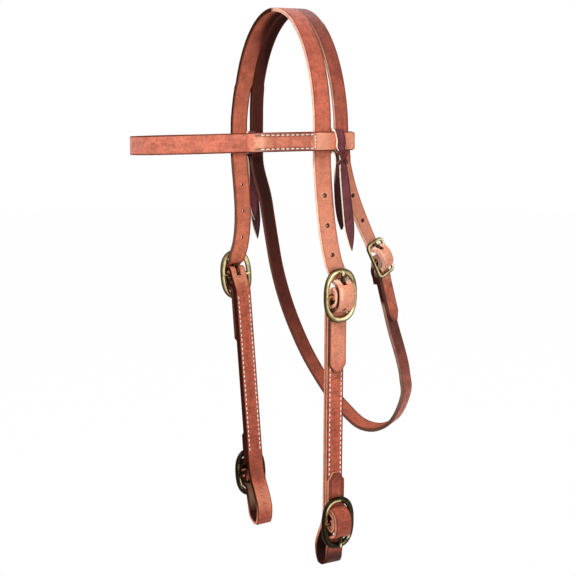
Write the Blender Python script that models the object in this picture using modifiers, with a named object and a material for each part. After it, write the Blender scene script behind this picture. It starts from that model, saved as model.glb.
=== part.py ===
"""A western headstall, hanging from its poll as it would on a horse or a hook.

Units are metres and +Z is up. The origin is the middle of the crown's underside, where the
poll carries it. The browband is to -Y, and the near (left) side of the horse is to +X.
Every strap is an open sheet that follows its route, thickened with Solidify and rounded
with Bevel. Buckle frames are cast rings with a centre bar, and each tongue hooks the bar.
"""

from math import asin, atan2, ceil, copysign, cos, hypot, pi, radians, sin

import bmesh
import bpy
from mathutils import Matrix, Vector

MM = 0.001

# Leather
STRAP_THICKNESS = 3.3 * MM
TIE_THICKNESS = 2.0 * MM
CLEARANCE = 0.3 * MM
EDGE_ROUNDING = 0.5 * MM
FRONT_STRAP_WIDTH = 15.9 * MM
REAR_STRAP_WIDTH = 12.7 * MM
CHEEK_WIDTH = 15.9 * MM
BROWBAND_WIDTH = 15.9 * MM
HOLE_DIAMETER = 4.2 * MM
HOLE_SPACING = 25.4 * MM
HOLES_ABOVE = 3
STATION_STEP = 8.5 * MM

# Crown
CROWN_HALF_SPAN = 74.5 * MM
CROWN_RISE = 106.0 * MM
POLL_FLAT = 6.0 * MM
STRAP_GAP = 4.4 * MM
SPLIT_END_GAP = 1.2 * MM
SPLIT_OFFSET = 1.6 * MM
NEAR_SPLIT_DEPTH = 13.0 * MM
FAR_SPLIT_DEPTH = 62.0 * MM
PARALLEL_DEPTH = 129.0 * MM
BILLET_TIP_LENGTH = 68.0 * MM
THROAT_TIP_LENGTH = 61.0 * MM
BILLET_LEAN = 4.5 * MM
HOLES_SET_BACK = 4.0 * MM
REAR_HOLES_SET_BACK = 7.0 * MM
TIP_TAPER_LENGTH = 7.0 * MM
TIP_END_WIDTH = 6.0 * MM

# Browband and its ties
BROWBAND_DEPTH = 111.0 * MM
BROWBAND_STRAIGHT = 64.0 * MM
BROWBAND_DROOP = 1.5 * MM
BROWBAND_TILT = 4.5 * MM
LOOP_END = 18.0 * MM
LOOP_CLOSING = 9.0 * MM
STITCHED_LENGTH = 58.0 * MM
TIE_WIDTH = 8.0 * MM
TIE_POSITION = 3.4 * MM
TIE_PINCHED_WIDTH = 3.2 * MM
TIE_TAIL_WIDTH = 9.5 * MM
TAIL_SPREAD = 3.0 * MM
TAIL_LAY = 3.6 * MM
TAIL_FLARE = 2.2 * MM

# Cheek straps: how far out, back and down from the poll the bar of each buckle is
UPPER_BAR_OUT = 82.0 * MM
LOWER_BAR_OUT = 75.0 * MM
NEAR_UPPER_BACK = 5.8 * MM
NEAR_UPPER_DOWN = 242.0 * MM
NEAR_LOWER_BACK = 8.8 * MM
NEAR_LOWER_DOWN = 445.0 * MM
FAR_UPPER_BACK = -8.5 * MM
FAR_UPPER_DOWN = 241.0 * MM
FAR_LOWER_BACK = 2.5 * MM
FAR_LOWER_DOWN = 435.0 * MM
NEAR_UPPER_BAR = Vector((UPPER_BAR_OUT, NEAR_UPPER_BACK, -NEAR_UPPER_DOWN))
NEAR_LOWER_BAR = Vector((LOWER_BAR_OUT, NEAR_LOWER_BACK, -NEAR_LOWER_DOWN))
FAR_UPPER_BAR = Vector((-UPPER_BAR_OUT, FAR_UPPER_BACK, -FAR_UPPER_DOWN))
FAR_LOWER_BAR = Vector((-LOWER_BAR_OUT, FAR_LOWER_BACK, -FAR_LOWER_DOWN))
TUCKED_END = 6.0 * MM
NEAR_BIT_LOOP_DROP = 41.0 * MM
FAR_BIT_LOOP_DROP = 46.5 * MM
BIT_LOOP_DEPTH = 17.5 * MM
BIT_LOOP_SET_BACK = 3.2 * MM
BIT_SEAT = 5.0 * MM
LOWER_TIP_LENGTH = 45.0 * MM

# Throatlatch: the far tail of the crown, round to its buckle
THROAT_BAR_OUT = 75.0 * MM
THROAT_BAR_BACK = 51.3 * MM
THROAT_BAR_DOWN = 212.9 * MM
THROAT_BAR = Vector((THROAT_BAR_OUT, THROAT_BAR_BACK, -THROAT_BAR_DOWN))
throat_run_share = Vector((0.117, 0.393, -0.911)).normalized()
throat_across_share = Vector((-0.304, 0.888, 0.344)).normalized()
throat_limb_share = Vector((-0.10, 0.326, -0.94)).normalized()
THROAT_KNEE = 10.0 * MM
THROAT_REACH = 108.0 * MM
THROAT_DROP = 390.0 * MM

# Buckles
OVAL_HEIGHT = 46.0 * MM
OVAL_WIDTH = 32.0 * MM
OVAL_RIM = 4.2 * MM
OVAL_BAR = 3.6 * MM
OVAL_TONGUE = 2.6 * MM
SQUARE_HEIGHT = 33.0 * MM
SQUARE_WIDTH = 23.5 * MM
SQUARE_CORNER = 3.6 * MM
SQUARE_RIM = 3.0 * MM
SQUARE_BAR = 2.7 * MM
SQUARE_TONGUE = 2.2 * MM
TONGUE_SIDE_ROOM = 0.9 * MM
TONGUE_OVERHANG = 2.6 * MM
TONGUE_HOOK_START = radians(100)

# Places along the throatlatch, as shares of the crown's half span, the reach and the drop
throat_route_shares = (
    (-1.01, 0.19, 0.44),
    (-1.01, 0.25, 0.535),
    (-1.00, 0.30, 0.61),
    (-0.95, 0.37, 0.69),
    (-0.87, 0.455, 0.765),
    (-0.73, 0.54, 0.835),
    (-0.51, 0.65, 0.91),
    (-0.30, 0.72, 0.95),
    (-0.09, 0.79, 0.98),
    (0.12, 0.86, 0.985),
    (0.35, 0.90, 0.965),
    (0.53, 0.91, 0.93),
    (0.71, 0.89, 0.875),
    (0.82, 0.82, 0.83),
)
# How the throatlatch's width turns along those places: x, y and z of its direction
throat_across_shares = (
    (0.00, 1.00, 0.10),
    (0.00, 1.00, 0.10),
    (0.00, 0.95, 0.20),
    (0.05, 0.95, 0.25),
    (0.05, 0.95, 0.25),
    (0.05, 0.95, 0.30),
    (0.00, 0.95, 0.30),
    (0.00, 0.95, 0.30),
    (0.00, 0.95, 0.30),
    (-0.10, 0.95, 0.30),
    (-0.15, 0.90, 0.35),
    (-0.20, 0.90, 0.35),
    (-0.25, 0.90, 0.35),
    (-0.30, 0.90, 0.35),
)
# The bit loop's two sides, as shares of its drop below the lower bar and of its depth
inner_loop_shares = ((-0.12, 0.04), (0.12, 0.24), (0.38, 0.62), (0.64, 0.88), (0.87, 0.78))
outer_loop_shares = ((0.90, 0.02), (0.70, -0.08))

# How a billet comes slanting into its buckle, and how each strap leaves the browband
billet_slant_share = 0.3
front_strap_slant_share = 0.07
rear_strap_slant_share = 0.4
# A tie's tails: lengths as shares of the room from the browband down to the upper bar,
# places as shares of their length, and widths as shares of the full width
long_tail_length_share = 0.64
short_tail_length_share = 0.458
long_tail_shares = ((1.0, 0.23), (0.86, 0.62), (0.6, 1.0), (0.35, 1.0), (0.12, 0.84))
short_tail_shares = ((0.2, 0.84), (0.5, 1.0), (0.82, 0.62), (1.0, 0.23))
# How far from the crown strap's middle a tie is narrow and wide, as shares of its thickness
tie_pinch_shares = (0.25, 0.9)
tongue_tip_share = 0.7

BUCKSKIN = (0.53, 0.16, 0.09, 1.0)
LATIGO = (0.14, 0.05, 0.05, 1.0)
BRASS = (0.50, 0.39, 0.24, 1.0)

LAYER = STRAP_THICKNESS + CLEARANCE
TURN_STEPS = 5
OVAL_STEPS = 30
HOOK_STEPS = 11
HOLE_SIDES = 10
OVAL_SQUARENESS = 2.5
CUT_OVERRUN = 1.0 * MM


def clear_scene():
    for item in list(bpy.data.objects):
        bpy.data.objects.remove(item)


def new_collection(name):
    collection = bpy.data.collections.new(name)
    bpy.context.scene.collection.children.link(collection)
    return collection


def plain_material(name, color, roughness, metallic):
    material = bpy.data.materials.new(name)
    material.use_nodes = True
    shader = material.node_tree.nodes["Principled BSDF"]
    shader.inputs["Base Color"].default_value = color
    shader.inputs["Roughness"].default_value = roughness
    shader.inputs["Metallic"].default_value = metallic
    material.diffuse_color = color
    return material


# Routes


def unit(vector):
    return Vector(vector).normalized()


def through(points, step):
    """Evenly dense points on a smooth curve through the given ones."""
    points = [Vector(p) for p in points]
    padded = [2 * points[0] - points[1], *points, 2 * points[-1] - points[-2]]
    made = []
    for before, start, end, after in zip(padded, padded[1:], padded[2:], padded[3:]):
        count = max(2, ceil((end - start).length / step))
        for i in range(count):
            t = i / count
            pull_start = (end - before) / 2
            pull_end = (after - start) / 2
            made.append(
                start * (2 * t**3 - 3 * t**2 + 1)
                + pull_start * (t**3 - 2 * t**2 + t)
                + end * (3 * t**2 - 2 * t**3)
                + pull_end * (t**3 - t**2)
            )
    made.append(points[-1])
    return made


def bridge(start, start_way, end, end_way, step):
    """A curve that leaves start along start_way and meets end along end_way."""
    reach = (end - start).length
    count = max(3, ceil(reach / step))
    made = []
    for i in range(count + 1):
        t = i / count
        made.append(
            start * (2 * t**3 - 3 * t**2 + 1)
            + start_way * reach * (t**3 - 2 * t**2 + t)
            + end * (3 * t**2 - 2 * t**3)
            + end_way * reach * (t**3 - t**2)
        )
    return made


def lengths_along(points):
    made = [0.0]
    for a, b in zip(points, points[1:]):
        made.append(made[-1] + (b - a).length)
    return made


def tip_half_widths(points, width):
    """Half widths of a strap that tapers to a blunt point at its last place."""
    lengths = lengths_along(points)
    made = []
    for length in lengths:
        share = min(1.0, (lengths[-1] - length) / TIP_TAPER_LENGTH)
        made.append((TIP_END_WIDTH + (width - TIP_END_WIDTH) * share) / 2)
    return made


def straight_to_tip(start, way, length, step):
    """Places down a billet's free end, with one where its taper starts."""
    plain = length - TIP_TAPER_LENGTH
    count = max(1, ceil(plain / (2 * step)))
    made = [start + way * (plain * i / count) for i in range(1, count + 1)]
    made.append(start + way * length)
    return made


# Sheets and solids


def add_object(name, mesh, collection, material):
    made = bpy.data.objects.new(name, mesh)
    collection.objects.link(made)
    if material is not None:
        mesh.materials.append(material)
    return made


def sheet_mesh(name, rows):
    """A sheet one face wide through rows of (left corner, right corner)."""
    work = bmesh.new()
    corners = [(work.verts.new(left), work.verts.new(right)) for left, right in rows]
    for (a, b), (d, c) in zip(corners, corners[1:]):
        work.faces.new((a, b, c, d))
    mesh = bpy.data.meshes.new(name)
    work.to_mesh(mesh)
    work.free()
    return mesh


def strap_rows(points, acrosses, half_widths):
    """Corner pairs square to the route, from its points and rough across directions."""
    rows = []
    last = len(points) - 1
    for i, (point, across, half) in enumerate(zip(points, acrosses, half_widths)):
        along = unit(points[min(i + 1, last)] - points[max(i - 1, 0)])
        side = unit(across - along * across.dot(along))
        rows.append((point - side * half, point + side * half))
    return rows


def thicken(strap, thickness):
    solidify = strap.modifiers.new("leather_thickness", "SOLIDIFY")
    solidify.thickness = thickness
    solidify.offset = 0
    solidify.use_even_offset = True
    bevel = strap.modifiers.new("rounded_edges", "BEVEL")
    bevel.width = min(EDGE_ROUNDING, thickness / 4)
    bevel.segments = 1
    bevel.limit_method = "ANGLE"
    bevel.angle_limit = radians(60)


def cut(target, cutter):
    cutter.hide_render = True
    cutter.display_type = "WIRE"
    boolean = target.modifiers.new("cut_" + cutter.name, "BOOLEAN")
    boolean.operation = "DIFFERENCE"
    boolean.solver = "EXACT"
    boolean.object = cutter


def placed(origin, first, second, third):
    """The matrix whose X, Y and Z axes are the three directions, at the origin."""
    matrix = Matrix((first, second, third)).transposed().to_4x4()
    matrix.translation = origin
    return matrix


def box_cutter(name, matrix, low, high, collection):
    work = bmesh.new()
    bmesh.ops.create_cube(work, size=1.0)
    low, high = Vector(low), Vector(high)
    for vert in work.verts:
        vert.co = Vector(
            ((vert.co[i] + 0.5) * (high[i] - low[i]) + low[i] for i in range(3))
        )
    work.transform(matrix)
    mesh = bpy.data.meshes.new(name)
    work.to_mesh(mesh)
    work.free()
    return add_object(name, mesh, collection, None)


def punch_holes(name, strap, places, collection):
    """One cutter of round punches, each at a (point, way through the leather)."""
    work = bmesh.new()
    for point, way in places:
        bmesh.ops.create_cone(
            work,
            cap_ends=True,
            segments=HOLE_SIDES,
            radius1=HOLE_DIAMETER / 2,
            radius2=HOLE_DIAMETER / 2,
            depth=STRAP_THICKNESS + 2 * CUT_OVERRUN,
            matrix=Matrix.Translation(point) @ way.to_track_quat("Z", "Y").to_matrix().to_4x4(),
        )
    mesh = bpy.data.meshes.new(name)
    work.to_mesh(mesh)
    work.free()
    cut(strap, add_object(name, mesh, collection, None))


# Buckles


class Buckle:
    """A buckle's place, its sizes, and the routes of the leather that passes its bar.

    Its run is from the rim that the tongue rests on towards the rim that the tip passes,
    out is towards the side that the tongue is on, and across is along its bar.
    """

    def __init__(self, bar, run, across, height, width, rim, bar_size, tongue, corner, strap):
        self.bar = bar
        self.run = unit(run)
        self.across = unit(across - self.run * across.dot(self.run))
        self.out = self.run.cross(self.across)
        self.height = height
        self.width = width
        self.rim_radius = rim / 2
        self.bar_radius = bar_size / 2
        self.tongue_radius = tongue / 2
        self.corner = corner
        self.chape_radius = self.bar_radius + CLEARANCE + STRAP_THICKNESS / 2
        self.crest_radius = self.chape_radius + LAYER
        self.toe = -(self.rim_radius + CLEARANCE + STRAP_THICKNESS / 2)
        self.toe_radius = STRAP_THICKNESS
        self.reach = self.rim_run_beside(strap / 2) - self.rim_radius
        self.spare = self.toe_radius + self.toe
        apart = hypot(self.reach, self.spare)
        tilt = atan2(self.spare, self.reach)
        self.slope = asin((self.crest_radius + self.toe_radius) / apart) - tilt
        self.back_radius = self.toe_radius + 2 * LAYER
        self.back_slope = asin((self.back_radius - self.chape_radius) / apart) - tilt

    def place(self, along, out, across=0.0):
        return self.bar + self.run * along + self.out * out + self.across * across

    def rim_run_beside(self, across):
        """How far along its run the rim's centre line is, beside the strap's edge."""
        half_run = self.height / 2 - self.rim_radius
        if self.corner:
            return half_run
        share = across / (self.width / 2 - self.rim_radius)
        return half_run * (1 - share**OVAL_SQUARENESS) ** (1 / OVAL_SQUARENESS)

    def over_bar(self, inset):
        """A layer's (along, out) places from over the bar to past the rim."""
        crest = self.crest_radius - inset
        toe = self.toe_radius + inset
        made = []
        for i in range(TURN_STEPS + 1):
            angle = self.slope * i / TURN_STEPS
            made.append((crest * sin(angle), crest * cos(angle)))
        for i in range(TURN_STEPS + 1):
            angle = self.slope * (1 - i / TURN_STEPS)
            along = self.reach - toe * sin(angle)
            made.append((along, self.spare - toe * cos(angle)))
        return made

    def round_bar(self):
        """The chape's turn over the bar, from its front to where it leaves the back."""
        steps = 2 * TURN_STEPS
        radius = self.chape_radius
        angles = [(pi - self.back_slope) * i / steps for i in range(1, steps + 1)]
        return [(-radius * sin(angle), radius * cos(angle)) for angle in angles]

    def behind_bar(self):
        """The chape's back layer, down from the bar to flat behind the front one."""
        start = self.round_bar()[-1]
        turn = []
        for i in range(TURN_STEPS + 1):
            angle = self.back_slope * (1 - i / TURN_STEPS)
            along = self.reach - self.back_radius * sin(angle)
            turn.append((along, self.spare - self.back_radius * cos(angle)))
        made = []
        for i in range(1, TURN_STEPS):
            share = i / TURN_STEPS
            along = start[0] + (turn[0][0] - start[0]) * share
            made.append((along, start[1] + (turn[0][1] - start[1]) * share))
        return made + turn

    def slot_half_width(self):
        return self.tongue_radius + TONGUE_SIDE_ROOM


def oval_outline(buckle):
    """The rim's centre line: a superellipse."""
    half_run = buckle.height / 2 - buckle.rim_radius
    half_across = buckle.width / 2 - buckle.rim_radius
    power = 2 / OVAL_SQUARENESS
    made = []
    for i in range(OVAL_STEPS):
        angle = 2 * pi * i / OVAL_STEPS
        run = half_run * copysign(abs(cos(angle)) ** power, cos(angle))
        across = half_across * copysign(abs(sin(angle)) ** power, sin(angle))
        made.append((run, across))
    return made


def square_outline(buckle):
    """The rim's centre line: a rectangle with round corners."""
    radius = buckle.corner
    half_run = buckle.height / 2 - buckle.rim_radius - radius
    half_across = buckle.width / 2 - buckle.rim_radius - radius
    made = []
    for quarter in range(4):
        run_sign = (1, -1, -1, 1)[quarter]
        across_sign = (1, 1, -1, -1)[quarter]
        for i in range(TURN_STEPS + 1):
            angle = pi / 2 * (quarter + i / TURN_STEPS)
            run = run_sign * half_run + radius * cos(angle)
            across = across_sign * half_across + radius * sin(angle)
            made.append((run, across))
    return made


def tube_mesh(name, points, radius, sides, closed, radius_shares=None):
    """A wire of round section along the points, as a closed mesh."""
    curve = bpy.data.curves.new(name, "CURVE")
    curve.dimensions = "3D"
    curve.bevel_depth = radius
    curve.bevel_resolution = sides
    curve.use_fill_caps = not closed
    spline = curve.splines.new("POLY")
    spline.points.add(len(points) - 1)
    for i, point in enumerate(points):
        spline.points[i].co = (*point, 1.0)
        if radius_shares is not None:
            spline.points[i].radius = radius_shares[i]
    spline.use_cyclic_u = closed
    holder = bpy.data.objects.new(name, curve)
    bpy.context.scene.collection.objects.link(holder)
    bpy.context.view_layer.update()
    graph = bpy.context.evaluated_depsgraph_get()
    mesh = bpy.data.meshes.new_from_object(holder.evaluated_get(graph))
    bpy.data.objects.remove(holder)
    bpy.data.curves.remove(curve)
    work = bmesh.new()
    work.from_mesh(mesh)
    bmesh.ops.remove_doubles(work, verts=work.verts, dist=radius * 1e-3)
    bmesh.ops.recalc_face_normals(work, faces=work.faces)
    work.to_mesh(mesh)
    work.free()
    mesh.name = name
    return mesh


def make_frame(name, buckle, outline, parts, cutters, brass):
    """One casting: the rim, and the centre bar that joins its two sides."""
    rim_points = [buckle.place(run, 0, across) for run, across in outline]
    rim = tube_mesh(name, rim_points, buckle.rim_radius, 2, True)
    frame = add_object(name, rim, parts, brass)
    reach = buckle.width / 2 - buckle.rim_radius
    bar_points = [buckle.place(0, 0, -reach), buckle.place(0, 0, reach)]
    bar_mesh = tube_mesh(name + "_bar", bar_points, buckle.bar_radius, 3, False)
    bar = add_object(name + "_bar", bar_mesh, cutters, None)
    bar.hide_render = True
    bar.display_type = "WIRE"
    union = frame.modifiers.new("centre_bar", "BOOLEAN")
    union.operation = "UNION"
    union.solver = "EXACT"
    union.object = bar
    return frame


def make_tongue(name, buckle, parts, brass):
    """A wire hooked round the bar, whose straight end rests on the far rim."""
    wire = buckle.tongue_radius
    eye = buckle.bar_radius + CLEARANCE + wire
    flat = []
    for i in range(HOOK_STEPS + 1):
        angle = TONGUE_HOOK_START + (2 * pi - TONGUE_HOOK_START) * i / HOOK_STEPS
        flat.append((-eye * sin(angle), eye * cos(angle)))
    rim_place = buckle.height / 2 - buckle.rim_radius
    rim_level = buckle.rim_radius + CLEARANCE + wire
    tip = rim_place + TONGUE_OVERHANG
    for i in range(1, TURN_STEPS):
        share = i / TURN_STEPS
        flat.append((-rim_place * share, eye + (rim_level - eye) * share))
    flat.append((-rim_place, rim_level))
    flat.append((-tip, rim_level))
    shares = [1.0] * (len(flat) - 1) + [tongue_tip_share]
    points = [buckle.place(along, out) for along, out in flat]
    mesh = tube_mesh(name, points, wire, 2, False, shares)
    mesh.shade_smooth()
    mesh.set_sharp_from_angle(angle=radians(50))
    return add_object(name, mesh, parts, brass)


def slot_for_tongue(name, strap, buckle, cutters):
    """The long hole in a billet that the tongue comes up through, with room to lift."""
    half = buckle.slot_half_width()
    matrix = placed(buckle.bar, buckle.run, buckle.across, buckle.out)
    start = buckle.crest_radius / 4
    end = buckle.crest_radius / sin(buckle.slope) + HOLE_DIAMETER / 4
    low = (-end, -half, buckle.toe - STRAP_THICKNESS)
    high = (-start, half, buckle.crest_radius + STRAP_THICKNESS)
    cut(strap, box_cutter(name, matrix, low, high, cutters))


def slot_in_chape(name, strap, buckle, cutters):
    """The slot at the chape's fold, which leaves a lug on each side of the tongue."""
    half = buckle.slot_half_width()
    matrix = placed(buckle.bar, buckle.run, buckle.across, buckle.out)
    leather = buckle.chape_radius + STRAP_THICKNESS / 2
    outside = leather + CUT_OVERRUN
    low = (-outside, -half, -outside)
    high = (outside, half, leather + CLEARANCE / 2)
    cut(strap, box_cutter(name, matrix, low, high, cutters))


# Pieces


def make_buckles():
    sides = {
        "left": (NEAR_UPPER_BAR, NEAR_LOWER_BAR, 1),
        "right": (FAR_UPPER_BAR, FAR_LOWER_BAR, -1),
    }
    oval = (OVAL_HEIGHT, OVAL_WIDTH, OVAL_RIM, OVAL_BAR, OVAL_TONGUE, 0.0, CHEEK_WIDTH)
    made = {}
    for side, (upper, lower, sign) in sides.items():
        run = lower - upper
        made[side + "_upper"] = Buckle(upper, run, Vector((0, sign, 0)), *oval)
        made[side + "_lower"] = Buckle(lower, -run, Vector((0, -sign, 0)), *oval)
    made["throat"] = Buckle(
        THROAT_BAR,
        throat_run_share,
        throat_across_share,
        SQUARE_HEIGHT,
        SQUARE_WIDTH,
        SQUARE_RIM,
        SQUARE_BAR,
        SQUARE_TONGUE,
        SQUARE_CORNER,
        REAR_STRAP_WIDTH,
    )
    return made


def cheek_route(upper, lower, drop):
    """The whole cheek strap in one line, from the end tucked behind the lower bar.

    Drop is how far its bit loop hangs below the lower bar.
    """
    length = (lower.bar - upper.bar).length
    inner_depth = upper.toe - 2 * LAYER
    tucked = [p for p in lower.behind_bar() if p[0] <= TUCKED_END]
    flat = [(length - along, out) for along, out in reversed(tucked)]
    flat += [(length - along, out) for along, out in reversed(lower.round_bar())]
    flat += [(length - along, out) for along, out in lower.over_bar(LAYER)]
    flat += list(reversed(upper.over_bar(LAYER)))
    flat += upper.round_bar()
    flat += upper.behind_bar()
    inner = [Vector((length - lower.reach, inner_depth))]
    for share, depth in inner_loop_shares:
        along = length + drop * share
        inner.append(Vector((along, inner_depth - (BIT_LOOP_DEPTH - BIT_LOOP_SET_BACK) * depth)))
    bottom = length + drop
    middle = inner_depth + BIT_LOOP_SET_BACK - BIT_LOOP_DEPTH / 2
    inner.append(Vector((bottom, middle - BIT_SEAT / 2)))
    front = upper.toe - BIT_LOOP_SET_BACK
    outer = [Vector((bottom, middle + BIT_SEAT / 2))]
    for share, depth in outer_loop_shares:
        outer.append(Vector((length + drop * share, front - BIT_LOOP_DEPTH * depth)))
    entry = lower.reach
    outer.append(Vector((length + entry, lower.toe)))
    flat += through(inner, STATION_STEP / 2)
    flat += through(outer, STATION_STEP / 2)[:-1]
    flat += [(length + along, out) for along, out in reversed(lower.over_bar(0.0))]
    flat += [(length - along, out) for along, out in lower.over_bar(0.0)[1:]]
    route = [upper.place(along, out) for along, out in flat]
    tip_run = LOWER_TIP_LENGTH - lower.reach
    route += straight_to_tip(route[-1], -upper.run, tip_run, STATION_STEP)
    return route


def make_cheek_strap(side, drop, buckles, parts, cutters, leather):
    name = side + "_cheek_strap"
    upper, lower = buckles[side + "_upper"], buckles[side + "_lower"]
    route = cheek_route(upper, lower, drop)
    rows = strap_rows(
        route,
        [upper.across] * len(route),
        tip_half_widths(route, CHEEK_WIDTH),
    )
    strap = add_object(name, sheet_mesh(name, rows), parts, leather)
    thicken(strap, STRAP_THICKNESS)
    slot_in_chape(name + "_upper_slot", strap, upper, cutters)
    slot_in_chape(name + "_lower_slot", strap, lower, cutters)
    slot_for_tongue(name + "_tongue_slot", strap, lower, cutters)
    return strap


def split_gap(depth, split_depth):
    """The gap between the two straps of the crown at a depth below the poll."""
    if depth <= split_depth:
        return 0.0
    share = (depth - split_depth) / (BROWBAND_DEPTH - BROWBAND_WIDTH - split_depth)
    return SPLIT_END_GAP + (STRAP_GAP - SPLIT_END_GAP) * min(share, 1.0)


def arch_places(side):
    """The crown's arch on one side, from the poll's flat down to the parallel straps."""
    start = asin(POLL_FLAT / 2 / CROWN_HALF_SPAN)
    steps = ceil(CROWN_HALF_SPAN * pi / 2 / STATION_STEP)
    made = []
    for i in range(steps + 1):
        angle = start + (pi / 2 - start) * i / steps
        z = STRAP_THICKNESS / 2 + CROWN_RISE * (cos(angle) - cos(start))
        made.append((side * CROWN_HALF_SPAN * sin(angle), z))
    foot = made[-1][1]
    runs = ceil((PARALLEL_DEPTH + foot) / (2 * STATION_STEP))
    for i in range(1, runs + 1):
        made.append((side * CROWN_HALF_SPAN, foot - (PARALLEL_DEPTH + foot) * i / runs))
    return made


def arch_row(x, z, split_depth):
    """Front edge, front inner edge, rear inner edge and rear edge of the crown."""
    gap = split_gap(-z, split_depth)
    front = SPLIT_OFFSET - gap / 2
    rear = SPLIT_OFFSET + gap / 2
    ys = (front - FRONT_STRAP_WIDTH, front, rear, rear + REAR_STRAP_WIDTH)
    return [Vector((x, y, z)) for y in ys]


def strip_start(side, inner, outer):
    """Where a crown strap leaves the parallel run, midway between its edges."""
    row = arch_row(side * CROWN_HALF_SPAN, -PARALLEL_DEPTH, 0.0)
    return (row[inner] + row[outer]) / 2


def offset_layer(points, across, depth):
    """The same route one or more layers further in, square to the strap's face."""
    made = []
    last = len(points) - 1
    for i, point in enumerate(points):
        along = unit(points[min(i + 1, last)] - points[max(i - 1, 0)])
        made.append(point - unit(along.cross(across)) * depth)
    return made


def billet_end(buckle, way, tip_length):
    """From past the rim to the tip: a short turn into the way, and then straight."""
    start = buckle.place(buckle.reach, buckle.toe)
    knee = start + way * THROAT_KNEE
    turn = bridge(start, buckle.run, knee, way, THROAT_KNEE / 2)
    rest = tip_length - buckle.reach - THROAT_KNEE
    return turn, straight_to_tip(knee, way, rest, STATION_STEP)


def billet_route(start, start_way, buckle, end_way, tip_length, lean):
    """From the parallel run through a buckle to the tip, with its length at two places:
    where it comes square to the buckle, and at the bar."""
    entry = buckle.place(-(buckle.height / 2 + 2 * buckle.rim_radius), buckle.toe, -lean)
    slant = billet_slant_share * lean / BILLET_LEAN
    entry_way = unit(buckle.run + buckle.across * slant)
    route = bridge(start, start_way, entry, entry_way, 2 * STATION_STEP)
    at_entry = lengths_along(route)[-1]
    before = [(-along, out) for along, out in reversed(buckle.over_bar(0.0))]
    route += [buckle.place(along, out) for along, out in before]
    at_bar = lengths_along(route)[-1]
    route += [buckle.place(along, out) for along, out in buckle.over_bar(0.0)[1:]]
    turn, straight = billet_end(buckle, end_way, tip_length)
    route += turn[1:] + straight
    return route, at_entry, at_bar


def billet_strip(start, start_way, buckle, end_way, tip_length, width, lean, set_back):
    """Rows of a billet, front edge first, and where its holes are punched.

    The holes run up past the buckle, on to the parallel straps where they reach it.
    """
    route, at_entry, at_bar = billet_route(
        start, start_way, buckle, end_way, tip_length, lean
    )
    across = buckle.across * copysign(1.0, buckle.across.y)
    half_widths = tip_half_widths(route, width)
    acrosses = []
    lengths = lengths_along(route)
    for length in lengths:
        share = min(1.0, length / at_entry)
        acrosses.append(unit(Vector((0, 1, 0)).lerp(across, share)))
    rows = strap_rows(route, acrosses, half_widths)
    tongue_hole = at_bar - buckle.crest_radius / sin(buckle.slope) - set_back
    above = HOLES_ABOVE * HOLE_SPACING
    line = [start + Vector((0, 0, above))] + route
    sides = [Vector((0, 1, 0))] + acrosses
    marks = lengths_along(line)
    holes = []
    for step in (*range(-HOLES_ABOVE, 0), 1):
        target = above + tongue_hole + step * HOLE_SPACING
        i = max(k for k, length in enumerate(marks) if length <= target)
        share = (target - marks[i]) / (marks[i + 1] - marks[i])
        way = unit(line[i + 1] - line[i]).cross(sides[i])
        holes.append((line[i].lerp(line[i + 1], share), way))
    return rows, holes


def throatlatch_strip(start, buckle):
    """Rows of the far tail: round under the jaw, up to its buckle and over the bar."""
    places = [
        Vector((x * CROWN_HALF_SPAN, y * THROAT_REACH, -z * THROAT_DROP))
        for x, y, z in throat_route_shares
    ]
    down = Vector((0, 0, -1))
    first_way = unit(places[1] - places[0])
    last_way = unit(places[-1] - places[-2])
    turn, straight = billet_end(buckle, throat_limb_share, THROAT_TIP_LENGTH)
    limb = offset_layer(turn + straight, buckle.across, LAYER)
    step = 1.5 * STATION_STEP
    route = bridge(start, down, places[0], first_way, step)
    marks = [0, len(route) - 1]
    for a, b in zip(places, places[1:]):
        marks.append(marks[-1] + max(2, ceil((b - a).length / step)))
    route += through(places, step)[1:]
    route += bridge(route[-1], last_way, limb[-1], -throat_limb_share, step)[1:]
    marks.append(len(route) - 1)
    turns = [Vector((0, 1, 0))]
    turns += [Vector(turned) for turned in throat_across_shares]
    turns.append(buckle.across)
    acrosses = []
    for i in range(len(route)):
        k = max(m for m, mark in enumerate(marks[:-1]) if mark <= i)
        share = (i - marks[k]) / (marks[k + 1] - marks[k])
        acrosses.append(unit(turns[k].lerp(turns[k + 1], share)))
    flat = list(reversed(buckle.over_bar(LAYER)))[1:]
    flat += buckle.round_bar()
    flat += buckle.behind_bar()
    rest = list(reversed(limb))[1:]
    rest += [buckle.place(along, out) for along, out in flat]
    rest += offset_layer(turn, buckle.across, 2 * LAYER)[1:]
    route += rest
    acrosses += [buckle.across] * len(rest)
    return strap_rows(route, acrosses, [REAR_STRAP_WIDTH / 2] * len(route))


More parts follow.
